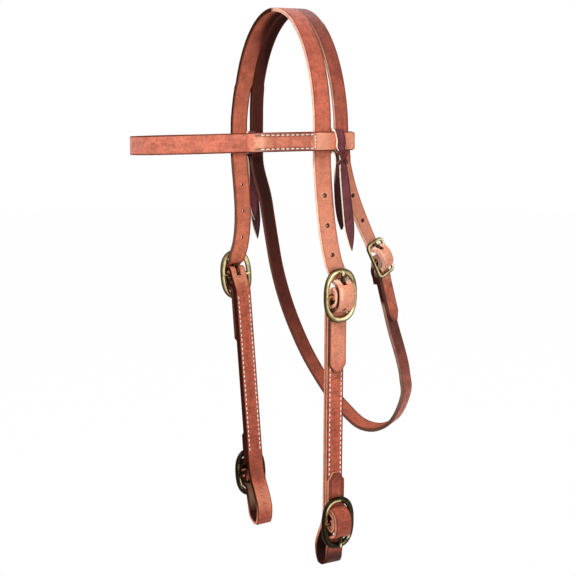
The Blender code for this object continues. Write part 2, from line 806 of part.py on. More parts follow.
def make_crown_strap(buckles, parts, cutters, leather):
    """One strap over the poll, split on each side into a front and a rear strap."""
    near_arch = [(x, z, NEAR_SPLIT_DEPTH) for x, z in arch_places(1)]
    far_arch = [(x, z, FAR_SPLIT_DEPTH) for x, z in arch_places(-1)]
    rows = [arch_row(*place) for place in list(reversed(near_arch)) + far_arch]
    frontward = unit((0, front_strap_slant_share, -1))
    rearward = unit((0, rear_strap_slant_share, -1))
    front = (BILLET_TIP_LENGTH, FRONT_STRAP_WIDTH, BILLET_LEAN, HOLES_SET_BACK)
    rear = (THROAT_TIP_LENGTH, REAR_STRAP_WIDTH, 0.0, REAR_HOLES_SET_BACK)
    near, far = buckles["left_upper"], buckles["right_upper"]
    near_front, near_holes = billet_strip(
        strip_start(1, 0, 1), frontward, near, near.run, *front
    )
    far_front, far_holes = billet_strip(
        strip_start(-1, 0, 1), frontward, far, far.run, *front
    )
    near_rear, rear_holes = billet_strip(
        strip_start(1, 2, 3), rearward, buckles["throat"], throat_limb_share, *rear
    )
    far_rear = throatlatch_strip(strip_start(-1, 2, 3), buckles["throat"])

    work = bmesh.new()
    known = {}

    def corner(point):
        key = tuple(round(value / (CLEARANCE / 100)) for value in point)
        if key not in known:
            known[key] = work.verts.new(point)
        return known[key]

    def strip(pairs):
        for (a, b), (d, c) in zip(pairs, pairs[1:]):
            ring = [corner(p) for p in (a, b, c, d)]
            work.faces.new(ring)

    strip([(row[0], row[1]) for row in rows])
    strip([(row[2], row[3]) for row in rows])
    strip([(rows[0][0], rows[0][1])] + near_front[1:])
    strip([(rows[0][2], rows[0][3])] + near_rear[1:])
    strip([(rows[-1][0], rows[-1][1])] + far_front[1:])
    strip([(rows[-1][2], rows[-1][3])] + far_rear[1:])
    bmesh.ops.recalc_face_normals(work, faces=work.faces)
    mesh = bpy.data.meshes.new("crown_strap")
    work.to_mesh(mesh)
    work.free()
    crown = add_object("crown_strap", mesh, parts, leather)
    thicken(crown, STRAP_THICKNESS)
    punch_holes("billet_holes", crown, near_holes + far_holes + rear_holes, cutters)
    for name in ("left_upper", "right_upper", "throat"):
        slot_for_tongue(name + "_tongue_slot", crown, buckles[name], cutters)
    slot_in_chape("throat_slot", crown, buckles["throat"], cutters)
    return crown


def browband_half():
    """The browband's near half in plan, from its stitched inner end to the front."""
    outer = CROWN_HALF_SPAN + LAYER
    inner = CROWN_HALF_SPAN - LAYER
    strap_front = SPLIT_OFFSET - STRAP_GAP / 2 - FRONT_STRAP_WIDTH
    closed = strap_front - CLEARANCE - LOOP_CLOSING
    made = [(outer - LAYER, closed + LOOP_CLOSING - STITCHED_LENGTH)]
    for i in range(TURN_STEPS + 1):
        share = i / TURN_STEPS
        x = outer - LAYER - (outer - LAYER - inner) * (1 - cos(pi * share)) / 2
        made.append((x, closed + LOOP_CLOSING * share))
    steps = 2 * TURN_STEPS
    for i in range(steps + 1):
        angle = pi * i / steps
        made.append((CROWN_HALF_SPAN - LAYER * cos(angle), LOOP_END + LAYER * sin(angle)))
    run = LOOP_END + BROWBAND_STRAIGHT
    for i in range(1, TURN_STEPS + 1):
        made.append((outer, LOOP_END - run * i / TURN_STEPS))
    arc_steps = ceil(outer * pi / 2 / (1.5 * STATION_STEP))
    for i in range(1, arc_steps + 1):
        angle = pi / 2 * i / arc_steps
        made.append((outer * cos(angle), -BROWBAND_STRAIGHT - outer * sin(angle)))
    return made


def browband_height(x, y):
    """The band's middle height: it droops to the front, and its far side hangs lower."""
    outer = CROWN_HALF_SPAN + LAYER
    reach = BROWBAND_STRAIGHT + outer
    droop = min(max((-y - LOOP_END) / (reach - LOOP_END), 0.0), 1.0)
    round_front = (1 - x / outer) / 2 if y < -BROWBAND_STRAIGHT else float(x < 0)
    return -BROWBAND_DEPTH - BROWBAND_DROOP * droop**2 - BROWBAND_TILT * round_front


def make_browband(parts, leather):
    """One strap, with each end turned back round both crown straps and stitched."""
    half = browband_half()
    plan = half[:-1] + [(-x, y) for x, y in reversed(half)]
    route = [Vector((x, y, browband_height(x, y))) for x, y in plan]
    up = Vector((0, 0, BROWBAND_WIDTH / 2))
    rows = [(point - up, point + up) for point in route]
    band = add_object("browband", sheet_mesh("browband", rows), parts, leather)
    thicken(band, STRAP_THICKNESS)
    return band


def tie_places(side):
    """(place, half width) along a tie: long tail, once round the band, short tail."""
    outside = CROWN_HALF_SPAN + LAYER + STRAP_THICKNESS / 2 + CLEARANCE + TIE_THICKNESS / 2
    inside = CROWN_HALF_SPAN - LAYER - STRAP_THICKNESS / 2 - CLEARANCE - TIE_THICKNESS / 2
    edge = BROWBAND_WIDTH / 2 + CLEARANCE + TIE_THICKNESS / 2
    height = browband_height(side * CROWN_HALF_SPAN, LOOP_END)
    room = (NEAR_UPPER_DOWN if side > 0 else FAR_UPPER_DOWN) - BROWBAND_DEPTH
    long_tail = room * long_tail_length_share
    short_tail = room * short_tail_length_share
    top = height + edge
    bottom = height - edge
    turn = CLEARANCE + TIE_THICKNESS / 2
    gap_y = SPLIT_OFFSET
    face_y = gap_y + TIE_POSITION
    knot_y = face_y + TAIL_LAY / 2
    half = TIE_WIDTH / 2
    pinched = TIE_PINCHED_WIDTH / 2
    tail = TIE_TAIL_WIDTH / 2
    strap_outside = CROWN_HALF_SPAN + STRAP_THICKNESS / 2
    strap_inside = CROWN_HALF_SPAN - STRAP_THICKNESS / 2
    narrow, wide = (TIE_THICKNESS * share for share in tie_pinch_shares)
    behind = outside - TIE_THICKNESS - CLEARANCE
    made = []
    for share, width_share in long_tail_shares:
        x = outside + CLEARANCE + TAIL_FLARE * share
        y = knot_y + TAIL_LAY * share + TAIL_SPREAD * share
        made.append((x, y, bottom - long_tail * share, tail * width_share))
    made.append((outside + CLEARANCE, knot_y, bottom, half))
    made.append((outside, face_y, bottom + edge / 2, half))
    made.append((outside, face_y, top - turn, half))
    made.append((outside - turn * (1 - cos(pi / 4)), face_y, top - turn * (1 - sin(pi / 4)), half))
    made.append((outside - turn, face_y, top, half))
    made.append((strap_outside + wide, (face_y + gap_y) / 2, top, half))
    made.append((strap_outside + narrow, gap_y, top, pinched))
    made.append((strap_inside - narrow, gap_y, top, pinched))
    made.append((strap_inside - wide, gap_y, top, half))
    made.append((inside + turn * (1 - cos(pi / 4)), gap_y, top - turn * (1 - sin(pi / 4)), half))
    made.append((inside, gap_y, top - turn, half))
    made.append((inside, gap_y, bottom + turn, half))
    made.append((inside + turn * (1 - cos(pi / 4)), gap_y, bottom + turn * (1 - sin(pi / 4)), half))
    made.append((strap_inside - wide, gap_y, bottom, half))
    made.append((strap_inside - narrow, gap_y, bottom, pinched))
    made.append((strap_outside + narrow, gap_y, bottom, pinched))
    made.append((strap_outside + wide, (face_y + gap_y) / 2, bottom, half))
    made.append((behind, face_y, bottom - turn, half))
    for share, width_share in short_tail_shares:
        x = behind + TAIL_FLARE * share
        y = face_y + TAIL_LAY * share
        z = bottom - turn - short_tail * share
        made.append((x, y, z, tail * width_share))
    return [(Vector((side * x, y, z)), width) for x, y, z, width in made]


def make_tie(name, side, parts, leather):
    """A thong round the browband, pinched between the crown straps, with two tails."""
    places = tie_places(side)
    rows = []
    for point, half in places:
        rows.append((point - Vector((0, half, 0)), point + Vector((0, half, 0))))
    tie = add_object(name, sheet_mesh(name, rows), parts, leather)
    thicken(tie, TIE_THICKNESS)
    return tie


def add_pivot(name, place, parts):
    """An empty on a joint's axis, which carries what moves there."""
    pivot = bpy.data.objects.new(name, None)
    pivot.location = place
    parts.objects.link(pivot)
    return pivot


def carry(pivot, pieces):
    """Parents the pieces to the pivot and leaves them where they are."""
    bpy.context.view_layer.update()
    for piece in pieces:
        piece.parent = pivot
        piece.matrix_parent_inverse = pivot.matrix_world.inverted()


def hang_moving_pieces(buckles, parts):
    """Each cheek swings at its upper bar, each tongue at its bar, and the browband slides."""
    slide = add_pivot("browband_slide", Vector((0, 0, -BROWBAND_DEPTH)), parts)
    carry(slide, [parts.objects[name] for name in ("browband", "left_tie", "right_tie")])
    pivots = {}
    for name, buckle in buckles.items():
        pivots[name] = add_pivot(name + "_tongue_pivot", buckle.bar, parts)
        carry(pivots[name], [parts.objects[name + "_tongue"]])
    for side in ("left", "right"):
        swing = add_pivot(side + "_cheek_pivot", buckles[side + "_upper"].bar, parts)
        strap = parts.objects[side + "_cheek_strap"]
        frame = parts.objects[side + "_lower_buckle_frame"]
        carry(swing, [strap, frame, pivots[side + "_lower"]])


def main():
    clear_scene()
    parts = new_collection("western_headstall")
    cutters = new_collection("headstall_cutters")
    buckles = make_buckles()
    materials = {}
    for name in ("crown", "browband", "left_cheek", "right_cheek"):
        materials[name] = plain_material(name + "_leather", BUCKSKIN, 0.55, 0.0)
    for name in ("left_tie", "right_tie"):
        materials[name] = plain_material(name + "_latigo", LATIGO, 0.6, 0.0)
    make_crown_strap(buckles, parts, cutters, materials["crown"])
    make_browband(parts, materials["browband"])
    make_tie("left_tie", 1, parts, materials["left_tie"])
    make_tie("right_tie", -1, parts, materials["right_tie"])
    drops = {"left": NEAR_BIT_LOOP_DROP, "right": FAR_BIT_LOOP_DROP}
    for side, drop in drops.items():
        make_cheek_strap(side, drop, buckles, parts, cutters, materials[side + "_cheek"])
    for name, buckle in buckles.items():
        outline = square_outline(buckle) if buckle.corner else oval_outline(buckle)
        frame_brass = plain_material(name + "_frame_brass", BRASS, 0.25, 1.0)
        make_frame(name + "_buckle_frame", buckle, outline, parts, cutters, frame_brass)
        tongue_brass = plain_material(name + "_tongue_brass", BRASS, 0.25, 1.0)
        make_tongue(name + "_tongue", buckle, parts, tongue_brass)
    hang_moving_pieces(buckles, parts)


main()
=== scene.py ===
"""The looks of a western headstall, dressed around its solids.

Units are metres and +Z is up. The leather is made again from the routes of the solids, with
finer steps and softer edges, and gets its thread, creases, punched holes and burnished edges,
whose dark corners are also a painted outline, and painted light and shade in its colours.
"""

from math import asin, atan2, ceil, copysign, cos, hypot, pi, radians, sin

import bmesh
import bpy
from mathutils import Matrix, Vector


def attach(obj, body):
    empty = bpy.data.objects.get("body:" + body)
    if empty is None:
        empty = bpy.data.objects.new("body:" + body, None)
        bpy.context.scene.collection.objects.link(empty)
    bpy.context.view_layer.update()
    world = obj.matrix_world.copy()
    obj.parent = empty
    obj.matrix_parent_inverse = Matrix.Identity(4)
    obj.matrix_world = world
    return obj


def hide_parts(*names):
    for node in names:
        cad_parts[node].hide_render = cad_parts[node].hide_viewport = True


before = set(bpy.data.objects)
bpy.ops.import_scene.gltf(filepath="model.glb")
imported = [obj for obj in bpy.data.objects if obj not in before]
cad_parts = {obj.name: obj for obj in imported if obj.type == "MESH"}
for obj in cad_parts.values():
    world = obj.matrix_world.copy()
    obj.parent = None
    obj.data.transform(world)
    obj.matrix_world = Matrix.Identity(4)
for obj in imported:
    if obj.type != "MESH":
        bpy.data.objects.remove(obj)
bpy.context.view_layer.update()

# Sizes, as the solids have them

MM = 0.001

# Leather
STRAP_THICKNESS = 3.3 * MM
TIE_THICKNESS = 2.0 * MM
CLEARANCE = 0.3 * MM
FRONT_STRAP_WIDTH = 15.9 * MM
REAR_STRAP_WIDTH = 12.7 * MM
CHEEK_WIDTH = 15.9 * MM
BROWBAND_WIDTH = 15.9 * MM
HOLE_SPACING = 25.4 * MM
HOLES_ABOVE = 3
STATION_STEP = 3.0 * MM

# Crown
CROWN_HALF_SPAN = 74.5 * MM
CROWN_RISE = 106.0 * MM
POLL_FLAT = 6.0 * MM
STRAP_GAP = 4.4 * MM
SPLIT_END_GAP = 1.2 * MM
SPLIT_OFFSET = 1.6 * MM
NEAR_SPLIT_DEPTH = 13.0 * MM
FAR_SPLIT_DEPTH = 62.0 * MM
PARALLEL_DEPTH = 129.0 * MM
BILLET_TIP_LENGTH = 68.0 * MM
THROAT_TIP_LENGTH = 61.0 * MM
BILLET_LEAN = 4.5 * MM
HOLES_SET_BACK = 4.0 * MM
REAR_HOLES_SET_BACK = 7.0 * MM
TIP_TAPER_LENGTH = 7.0 * MM
TIP_END_WIDTH = 6.0 * MM

# Browband and its ties
BROWBAND_DEPTH = 111.0 * MM
BROWBAND_STRAIGHT = 64.0 * MM
BROWBAND_DROOP = 1.5 * MM
BROWBAND_TILT = 4.5 * MM
LOOP_END = 18.0 * MM
LOOP_CLOSING = 9.0 * MM
STITCHED_LENGTH = 58.0 * MM
TIE_WIDTH = 8.0 * MM
TIE_POSITION = 3.4 * MM
TIE_PINCHED_WIDTH = 3.2 * MM
TIE_TAIL_WIDTH = 9.5 * MM
TAIL_SPREAD = 5.4 * MM
TAIL_LAY = 3.6 * MM
SHORT_TAIL_FORWARD = 1.2 * MM
FAR_SHORT_TAIL_BACK = 2.8 * MM
WRAP_BOW = 1.9 * MM
TAIL_FLARE = 2.2 * MM

# Cheek straps: how far out, back and down from the poll the bar of each buckle is
UPPER_BAR_OUT = 82.0 * MM
LOWER_BAR_OUT = 75.0 * MM
NEAR_UPPER_BACK = 5.8 * MM
NEAR_UPPER_DOWN = 242.0 * MM
NEAR_LOWER_BACK = 8.8 * MM
NEAR_LOWER_DOWN = 445.0 * MM
FAR_UPPER_BACK = -8.5 * MM
FAR_UPPER_DOWN = 241.0 * MM
FAR_LOWER_BACK = 2.5 * MM
FAR_LOWER_DOWN = 435.0 * MM
NEAR_UPPER_BAR = Vector((UPPER_BAR_OUT, NEAR_UPPER_BACK, -NEAR_UPPER_DOWN))
NEAR_LOWER_BAR = Vector((LOWER_BAR_OUT, NEAR_LOWER_BACK, -NEAR_LOWER_DOWN))
FAR_UPPER_BAR = Vector((-UPPER_BAR_OUT, FAR_UPPER_BACK, -FAR_UPPER_DOWN))
FAR_LOWER_BAR = Vector((-LOWER_BAR_OUT, FAR_LOWER_BACK, -FAR_LOWER_DOWN))
TUCKED_END = 6.0 * MM
NEAR_BIT_LOOP_DROP = 41.0 * MM
FAR_BIT_LOOP_DROP = 46.5 * MM
BIT_LOOP_DEPTH = 17.5 * MM
BIT_LOOP_SET_BACK = 3.2 * MM
BIT_SEAT = 5.0 * MM
LOWER_TIP_LENGTH = 45.0 * MM

# Throatlatch: the far tail of the crown, round to its buckle
THROAT_BAR_OUT = 75.0 * MM
THROAT_BAR_BACK = 51.3 * MM
THROAT_BAR_DOWN = 212.9 * MM
THROAT_BAR = Vector((THROAT_BAR_OUT, THROAT_BAR_BACK, -THROAT_BAR_DOWN))
throat_run_share = Vector((0.117, 0.393, -0.911)).normalized()
throat_across_share = Vector((-0.304, 0.888, 0.344)).normalized()
throat_limb_share = Vector((-0.10, 0.326, -0.94)).normalized()
THROAT_KNEE = 10.0 * MM
THROAT_REACH = 108.0 * MM
THROAT_DROP = 390.0 * MM

# Buckles
OVAL_HEIGHT = 46.0 * MM
OVAL_WIDTH = 32.0 * MM
OVAL_RIM = 4.2 * MM
OVAL_BAR = 3.6 * MM
OVAL_TONGUE = 2.6 * MM
SQUARE_HEIGHT = 33.0 * MM
SQUARE_WIDTH = 23.5 * MM
SQUARE_CORNER = 3.6 * MM
SQUARE_RIM = 3.0 * MM
SQUARE_BAR = 2.7 * MM
SQUARE_TONGUE = 2.2 * MM
TONGUE_SIDE_ROOM = 0.9 * MM
TONGUE_OVERHANG = 0.5 * MM
TONGUE_LIFT_ROOM = 2.7 * MM
TONGUE_UNDER_ROOM = 1.5 * MM
SLOT_PAST_BAR = 2.0 * MM
TONGUE_HOOK_START = radians(100)

# Places along the throatlatch, as shares of the crown's half span, the reach and the drop,
# and x, y and z of the direction of its width there
throat_shares = (
    ((-1.01, 0.19, 0.44), (0.00, 1.00, 0.10)),
    ((-1.01, 0.25, 0.535), (0.00, 1.00, 0.10)),
    ((-1.00, 0.30, 0.61), (0.00, 0.95, 0.20)),
    ((-0.95, 0.37, 0.69), (0.05, 0.95, 0.25)),
    ((-0.87, 0.455, 0.765), (0.05, 0.95, 0.25)),
    ((-0.73, 0.54, 0.835), (0.05, 0.95, 0.30)),
    ((-0.51, 0.65, 0.91), (0.00, 0.95, 0.30)),
    ((-0.30, 0.72, 0.95), (0.00, 0.95, 0.30)),
    ((-0.09, 0.79, 0.98), (0.00, 0.95, 0.30)),
    ((0.12, 0.86, 0.985), (-0.10, 0.95, 0.30)),
    ((0.35, 0.90, 0.965), (-0.15, 0.90, 0.35)),
    ((0.53, 0.91, 0.93), (-0.20, 0.90, 0.35)),
    ((0.71, 0.89, 0.875), (-0.25, 0.90, 0.35)),
    ((0.82, 0.82, 0.83), (-0.30, 0.90, 0.35)),
)
# The bit loop's two sides, as shares of its drop below the lower bar and of its depth
inner_loop_shares = ((-0.12, 0.04), (0.12, 0.24), (0.38, 0.62), (0.64, 0.88), (0.87, 0.78))
outer_loop_shares = ((0.90, 0.02), (0.70, -0.08))

# How a billet comes slanting into its buckle, and how each strap leaves the browband
billet_slant_share = 0.3
front_strap_slant_share = 0.07
rear_strap_slant_share = 0.4
# A tie's tails: lengths as shares of the room from the browband down to the upper bar,
# places as shares of their length, and widths as shares of the full width
long_tail_length_share = 0.64
short_tail_length_share = 0.49
long_tail_shares = (
    *((1.0, 0.06), (0.93, 0.42), (0.84, 0.78), (0.72, 1.0)),
    *((0.5, 0.94), (0.3, 0.86), (0.16, 0.7), (0.07, 0.5)),
)
short_tail_shares = ((0.1, 0.6), (0.3, 0.84), (0.6, 1.0), (0.8, 0.82), (0.93, 0.42), (1.0, 0.06))
# How far from the crown strap's middle a tie is narrow and wide, as shares of its thickness
tie_pinch_shares = (0.25, 0.9)
# How wide a tie is at its knot, and how it slants where it is wrapped round the browband
tie_knot_share = 0.7
wrap_slant_share = 0.7
# A tongue's size at its tip and at its fullest, as shares of the wire's, how soon it is full,
# and how much smaller its very end is
tongue_tip_share = 0.7
tongue_swell_share = 1.28
tongue_swell_speed = 1.6
tongue_end_share = 0.7
rim_breadth_share = 1.25
bar_flare_share = 0.28

LAYER = STRAP_THICKNESS + CLEARANCE
# Places that are nearer to each other than this are one place
SAME_PLACE = CLEARANCE / 100
TURN_STEPS = 10
OVAL_STEPS = 96
HOOK_STEPS = 22
OVAL_SQUARENESS = 2.5
CUT_OVERRUN = 1.0 * MM

# Sizes that only the looks have

# How steeply, how much higher and in what curve a billet stands up off its bar
PUFF_STEEPNESS = 68.0
PUFF_RISE = 2.2 * MM
puff_crest_share = 0.72
puff_wall_share = 0.6
# How full a chape's turn is halfway round, and from where to where its core fills it
chape_slack_share = 0.65
core_angles = (radians(-95), radians(150))
CORE_STEPS = 16
# The near rear strap leaves the browband further back, the browband's ends have round corners,
# and one hole past the bar isn't in its place
REAR_FLARE = 2.6 * MM
FLARE_REACH = 30 * MM
LOOP_CORNER = 1.2 * MM
PUNCHED_DIAMETER = 2.5 * MM
NEXT_HOLE_FORWARD = 3.5 * MM
# Seams: where they start and end, their thread, and how far their rows are from the edge
SEAM_START = 3.0 * MM
SEAM_END = 6.0 * MM
SEAM_FORWARD = 6.5 * MM
STITCH_PITCH = 4.5 * MM
STITCH_LENGTH = 3.4 * MM
STITCH_INSET = 2.3 * MM
CROSS_STITCH_PITCH = 2.9 * MM
CROSS_STITCH_BACK = 1.0 * MM
THREAD_RADIUS = 0.55 * MM
# How high a stitch stands, how deep its ends are and how thin, as shares of its radius
stitch_rise_share = 0.9
stitch_depth_share = 0.7
stitch_end_share = 0.55
# How finely things are divided, and which of their edges stay sharp
COLUMNS = 6
NARROW_COLUMNS = 4
NARROW_STEP = 1.4 * MM
THREAD_SIDES = 8
STITCH_STATIONS = 6
HOLE_WALL_SIDES = 28
RIM_SIDES = 20
BAR_STEPS = 12
TIP_STEPS = 6
SOFT_EDGE = 0.75 * MM
SOFT_EDGE_ANGLE = radians(60)
SHARP_ANGLE = radians(42)
TONGUE_SHARP_ANGLE = radians(50)
# Further than any edge or hole of a sheet
FAR_AWAY = 1000.0
KNOT_SIZE = 5.6 * MM
KNOT_STRAND_WIDTH = 4.0 * MM
KNOT_THICKNESS = 1.3 * MM
# The knot's strands: out, across and down, as shares of its size
knot_strands = (
    ((-0.15, -0.75, 0.1), (0.1, -0.5, 0.3), (0.3, 0.0, 0.9), (0.15, 0.6, 1.6), (-0.2, 0.9, 1.9)),
    ((-0.15, 0.85, 0.0), (0.2, 0.6, 0.3), (0.62, 0.0, 1.0), (0.3, -0.5, 1.7), (-0.1, -0.7, 2.1)),
)

# The view, the stage and the lamps
VIEW_AZIMUTH = radians(60)
VIEW_PITCH = radians(8)
VIEW_DISTANCE = 1157 * MM
VIEW_ASIDE = 1.35 * MM
VIEW_HEIGHT = -82.4 * MM
SENSOR_WIDTH = 36.0
VIEW_LENS = 80.625
CLIP_START = 50 * MM
FLOOR_HEIGHT = -640 * MM
FLOOR_RADIUS = 6.0
FLOOR_SIDES = 96
FLOOR_WHITE_SHARE = 0.985
WORLD_STRENGTH = 0.5
MIDDLE = Vector((0, 0, -240)) * MM
# Each lamp's azimuth and elevation in degrees, distance and size in metres, and power in watts
LAMPS = (
    ("key", 28.0, 44.0, 1.6, 0.55, 21.0),
    ("fill", 105.0, 12.0, 1.9, 1.3, 6.0),
    ("back", 215.0, 40.0, 1.9, 1.2, 5.0),
)

# Painted light and shade, from -1 dark to 1 pale: the crown's arch at its near foot, the poll
# and its far foot, how steeply each side of it changes, and the painted shade at the rear of its
# far side
front_arch_lighting = (0.3, -0.34, -0.06)
rear_arch_lighting = (-0.14, -0.62, -0.88)
arch_powers = (2.4, 0.35)
arch_shade_share = 1.3
arch_shade_reach = 0.32
# How dark the far side's cut edges are painted, as shade
far_edge_dark = 1.0
# Each billet's painted light and shade at its start and at its bar, how much more it has at the
# bar, at the tip and in the painted highlight by the bar, how dark its edge is painted above and
# at the bar, and how creased it is
billet_lighting = {
    "left_upper": (0.3, 0.7, 0.15, -0.1, 1.0, 0.0, 1.4, 0.3),
    "right_upper": (-0.06, 0.1, -0.3, 0.0, 0.0, 0.9, 1.4, 0.4),
    "throat": (0.22, 0.8, 0.1, -0.8, 0.8, 0.0, 0.45, 0.9),
}
# Where past its bar a billet's free end starts to have the tip's painted shade, over what length,
# and how dark its edge is painted there
FREE_END_START = 12 * MM
FREE_END_BLEND = 20 * MM
free_edge_dark = 0.95
# How far from its bar a billet has the bar's painted light, and from its tip it is painted darker
BAR_SPOT_REACH = 24 * MM
TIP_SPOT_REACH = 18 * MM
tip_painted_shade = -0.45
# Its painted highlights: one just above the bar, at a share of its width, and one where it comes
# up beside the rim, painted over the rim's shadow
HIGHLIGHT_ABOVE_BAR = 3 * MM
HIGHLIGHT_REACH = 13 * MM
highlight_band_shares = (0.22, 0.16)
rim_highlight_share = 0.95
RIM_HIGHLIGHT_REACH = 6 * MM
# Where it is creased, from its bar, and how far from there
CREASE_BELOW_BAR, CREASE_BELOW_REACH = 30 * MM, 22 * MM
CREASE_ABOVE_BAR, CREASE_ABOVE_REACH = 12 * MM, 7 * MM
# The throatlatch's painted light and shade at its start, where it turns and at its buckle
latch_lighting = (-1.05, -0.12, -0.72)
latch_turned_share = 0.62
# Where it is painted dark behind the square buckle and its billet, as their shade, and pale on
# its fold, as a painted highlight: how far from its end, the reach and the strength
latch_hidden_spots = ((8 * MM, 22 * MM, 1.0), (66 * MM, 36 * MM, 1.0))
latch_fold_spot = (30 * MM, 10 * MM, 0.9)
latch_hidden_shade = -0.7
latch_hidden_dark = 1.3
latch_creased = 0.25
# How its painted light and shade change up to its turn, and how soon after that they are as at
# its end
latch_power = 1.3
latch_turn_speed = 2.2
# How dark its cut edges are painted at its start and at its end
latch_edge_darks = (0.9, 0.6)
# The cheeks: the far one's painted shade all over, how dark both tips are painted, and how creased
# they are in the middle between their seams, at the lower bar and at the bit loop
far_cheek_shade = -0.16
CHEEK_TIP_REACH = 26 * MM
cheek_tip_shade = -0.5
cheek_crease_shares = (0.75, 0.6, 0.8)
# How far past a seam's ends its groove goes
GROOVE_PAST_SEAM = 2 * MM
# The browband: darker from its seams to the front, and painted glints at the rims of its seams'
# ends
browband_front_darkening = -0.14
browband_seam_lift = 0.06
BROWBAND_BLEND = 14 * MM
browband_rim_glint = 0.9
browband_rim_share = 0.15
# How bright brass is on its ridges and inside, as wear and painted highlight, and how much
# more each rim is at some of its places: at two opposite ones and at one, with their angles
# from the rim that the tip passes
ridge_highlight_and_wear_shares = (0.72, 0.28)
rim_highlights_and_wear = {
    "left_upper": (0.14, 0.1, 50.0, 265.0),
    "right_upper": (0.1, 0.14, 40.0, 90.0),
    "left_lower": (0.16, 0.08, 40.0, 30.0),
    "right_lower": (0.1, 0.1, 40.0, 270.0),
    "throat": (0.0, 0.1, 0.0, 225.0),
}
# How much more or less than a rim a tongue's shaft and tip are bright, from wear and painted
# highlight, and a tube's end
tongue_highlight_and_wear_shares = (0.62, 1.25)
tube_end_highlight_and_wear = 0.6
# From what share of a tie's length its short tail is dark, and over what share it gets so
short_tail_shade_shares = (0.74, 0.08)
# What painted shade keeps of the red, green and blue of the leather's colour
PAINTED_SHADE_FILTER = (0.3, 0.24, 0.28, 1.0)


# Routes and buckles


def unit(vector):
    return Vector(vector).normalized()


def hermite(start, start_pull, end, end_pull, t):
    """A place on the curve that leaves start and meets end with these pulls."""
    return (
        start * (2 * t**3 - 3 * t**2 + 1)
        + start_pull * (t**3 - 2 * t**2 + t)
        + end * (3 * t**2 - 2 * t**3)
        + end_pull * (t**3 - t**2)
    )


def through(points, step):
    """Evenly dense points on a smooth curve through the given ones."""
    points = [Vector(p) for p in points]
    padded = [2 * points[0] - points[1], *points, 2 * points[-1] - points[-2]]
    made = []
    for before, start, end, after in zip(padded, padded[1:], padded[2:], padded[3:]):
        count = max(2, ceil((end - start).length / step))
        first, second = (end - before) / 2, (after - start) / 2
        made += [hermite(start, first, end, second, i / count) for i in range(count)]
    return made + [points[-1]]


def bridge(start, start_way, end, end_way, step):
    """A curve that leaves start along start_way and meets end along end_way."""
    reach = (end - start).length
    count = max(3, ceil(reach / step))
    first, second = start_way * reach, end_way * reach
    return [hermite(start, first, end, second, i / count) for i in range(count + 1)]


def lengths_along(points):
    """How far along the points each of them is."""
    made = [0.0]
    for a, b in zip(points, points[1:]):
        made.append(made[-1] + (b - a).length)
    return made


def row_lengths(rows):
    """How far along a strap each of its (left, right) rows is."""
    return lengths_along([(left + right) / 2 for left, right in rows])


def last_within(values, limit):
    """The index of the last of the rising values that isn't past the limit."""
    return max(i for i, value in enumerate(values) if value <= limit)


def directions(points, closed=False):
    """The way along the points at each of them."""
    last = len(points) - 1
    made = []
    for i in range(len(points)):
        if closed:
            made.append(unit(points[(i + 1) % (last + 1)] - points[i - 1]))
        else:
            made.append(unit(points[min(i + 1, last)] - points[max(i - 1, 0)]))
    return made


def tip_half_widths(points, width):
    """Half widths of a strap that tapers to a blunt point at its last place."""
    lengths = lengths_along(points)
    made = []
    for length in lengths:
        share = min(1.0, (lengths[-1] - length) / TIP_TAPER_LENGTH)
        made.append((TIP_END_WIDTH + (width - TIP_END_WIDTH) * share) / 2)
    return made


def straight_to_tip(start, way, length, step):
    """Places down a billet's free end, with one where its taper starts."""
    plain = length - TIP_TAPER_LENGTH
    count = max(1, ceil(plain / (2 * step)))
    made = [start + way * (plain * i / count) for i in range(1, count + 1)]
    made.append(start + way * length)
    return made


def strap_rows(points, acrosses, half_widths):
    """Corner pairs square to the route, from its points and rough across directions."""
    rows = []
    for point, along, across, half in zip(points, directions(points), acrosses, half_widths):
        side = unit(across - along * across.dot(along))
        rows.append((point - side * half, point + side * half))
    return rows


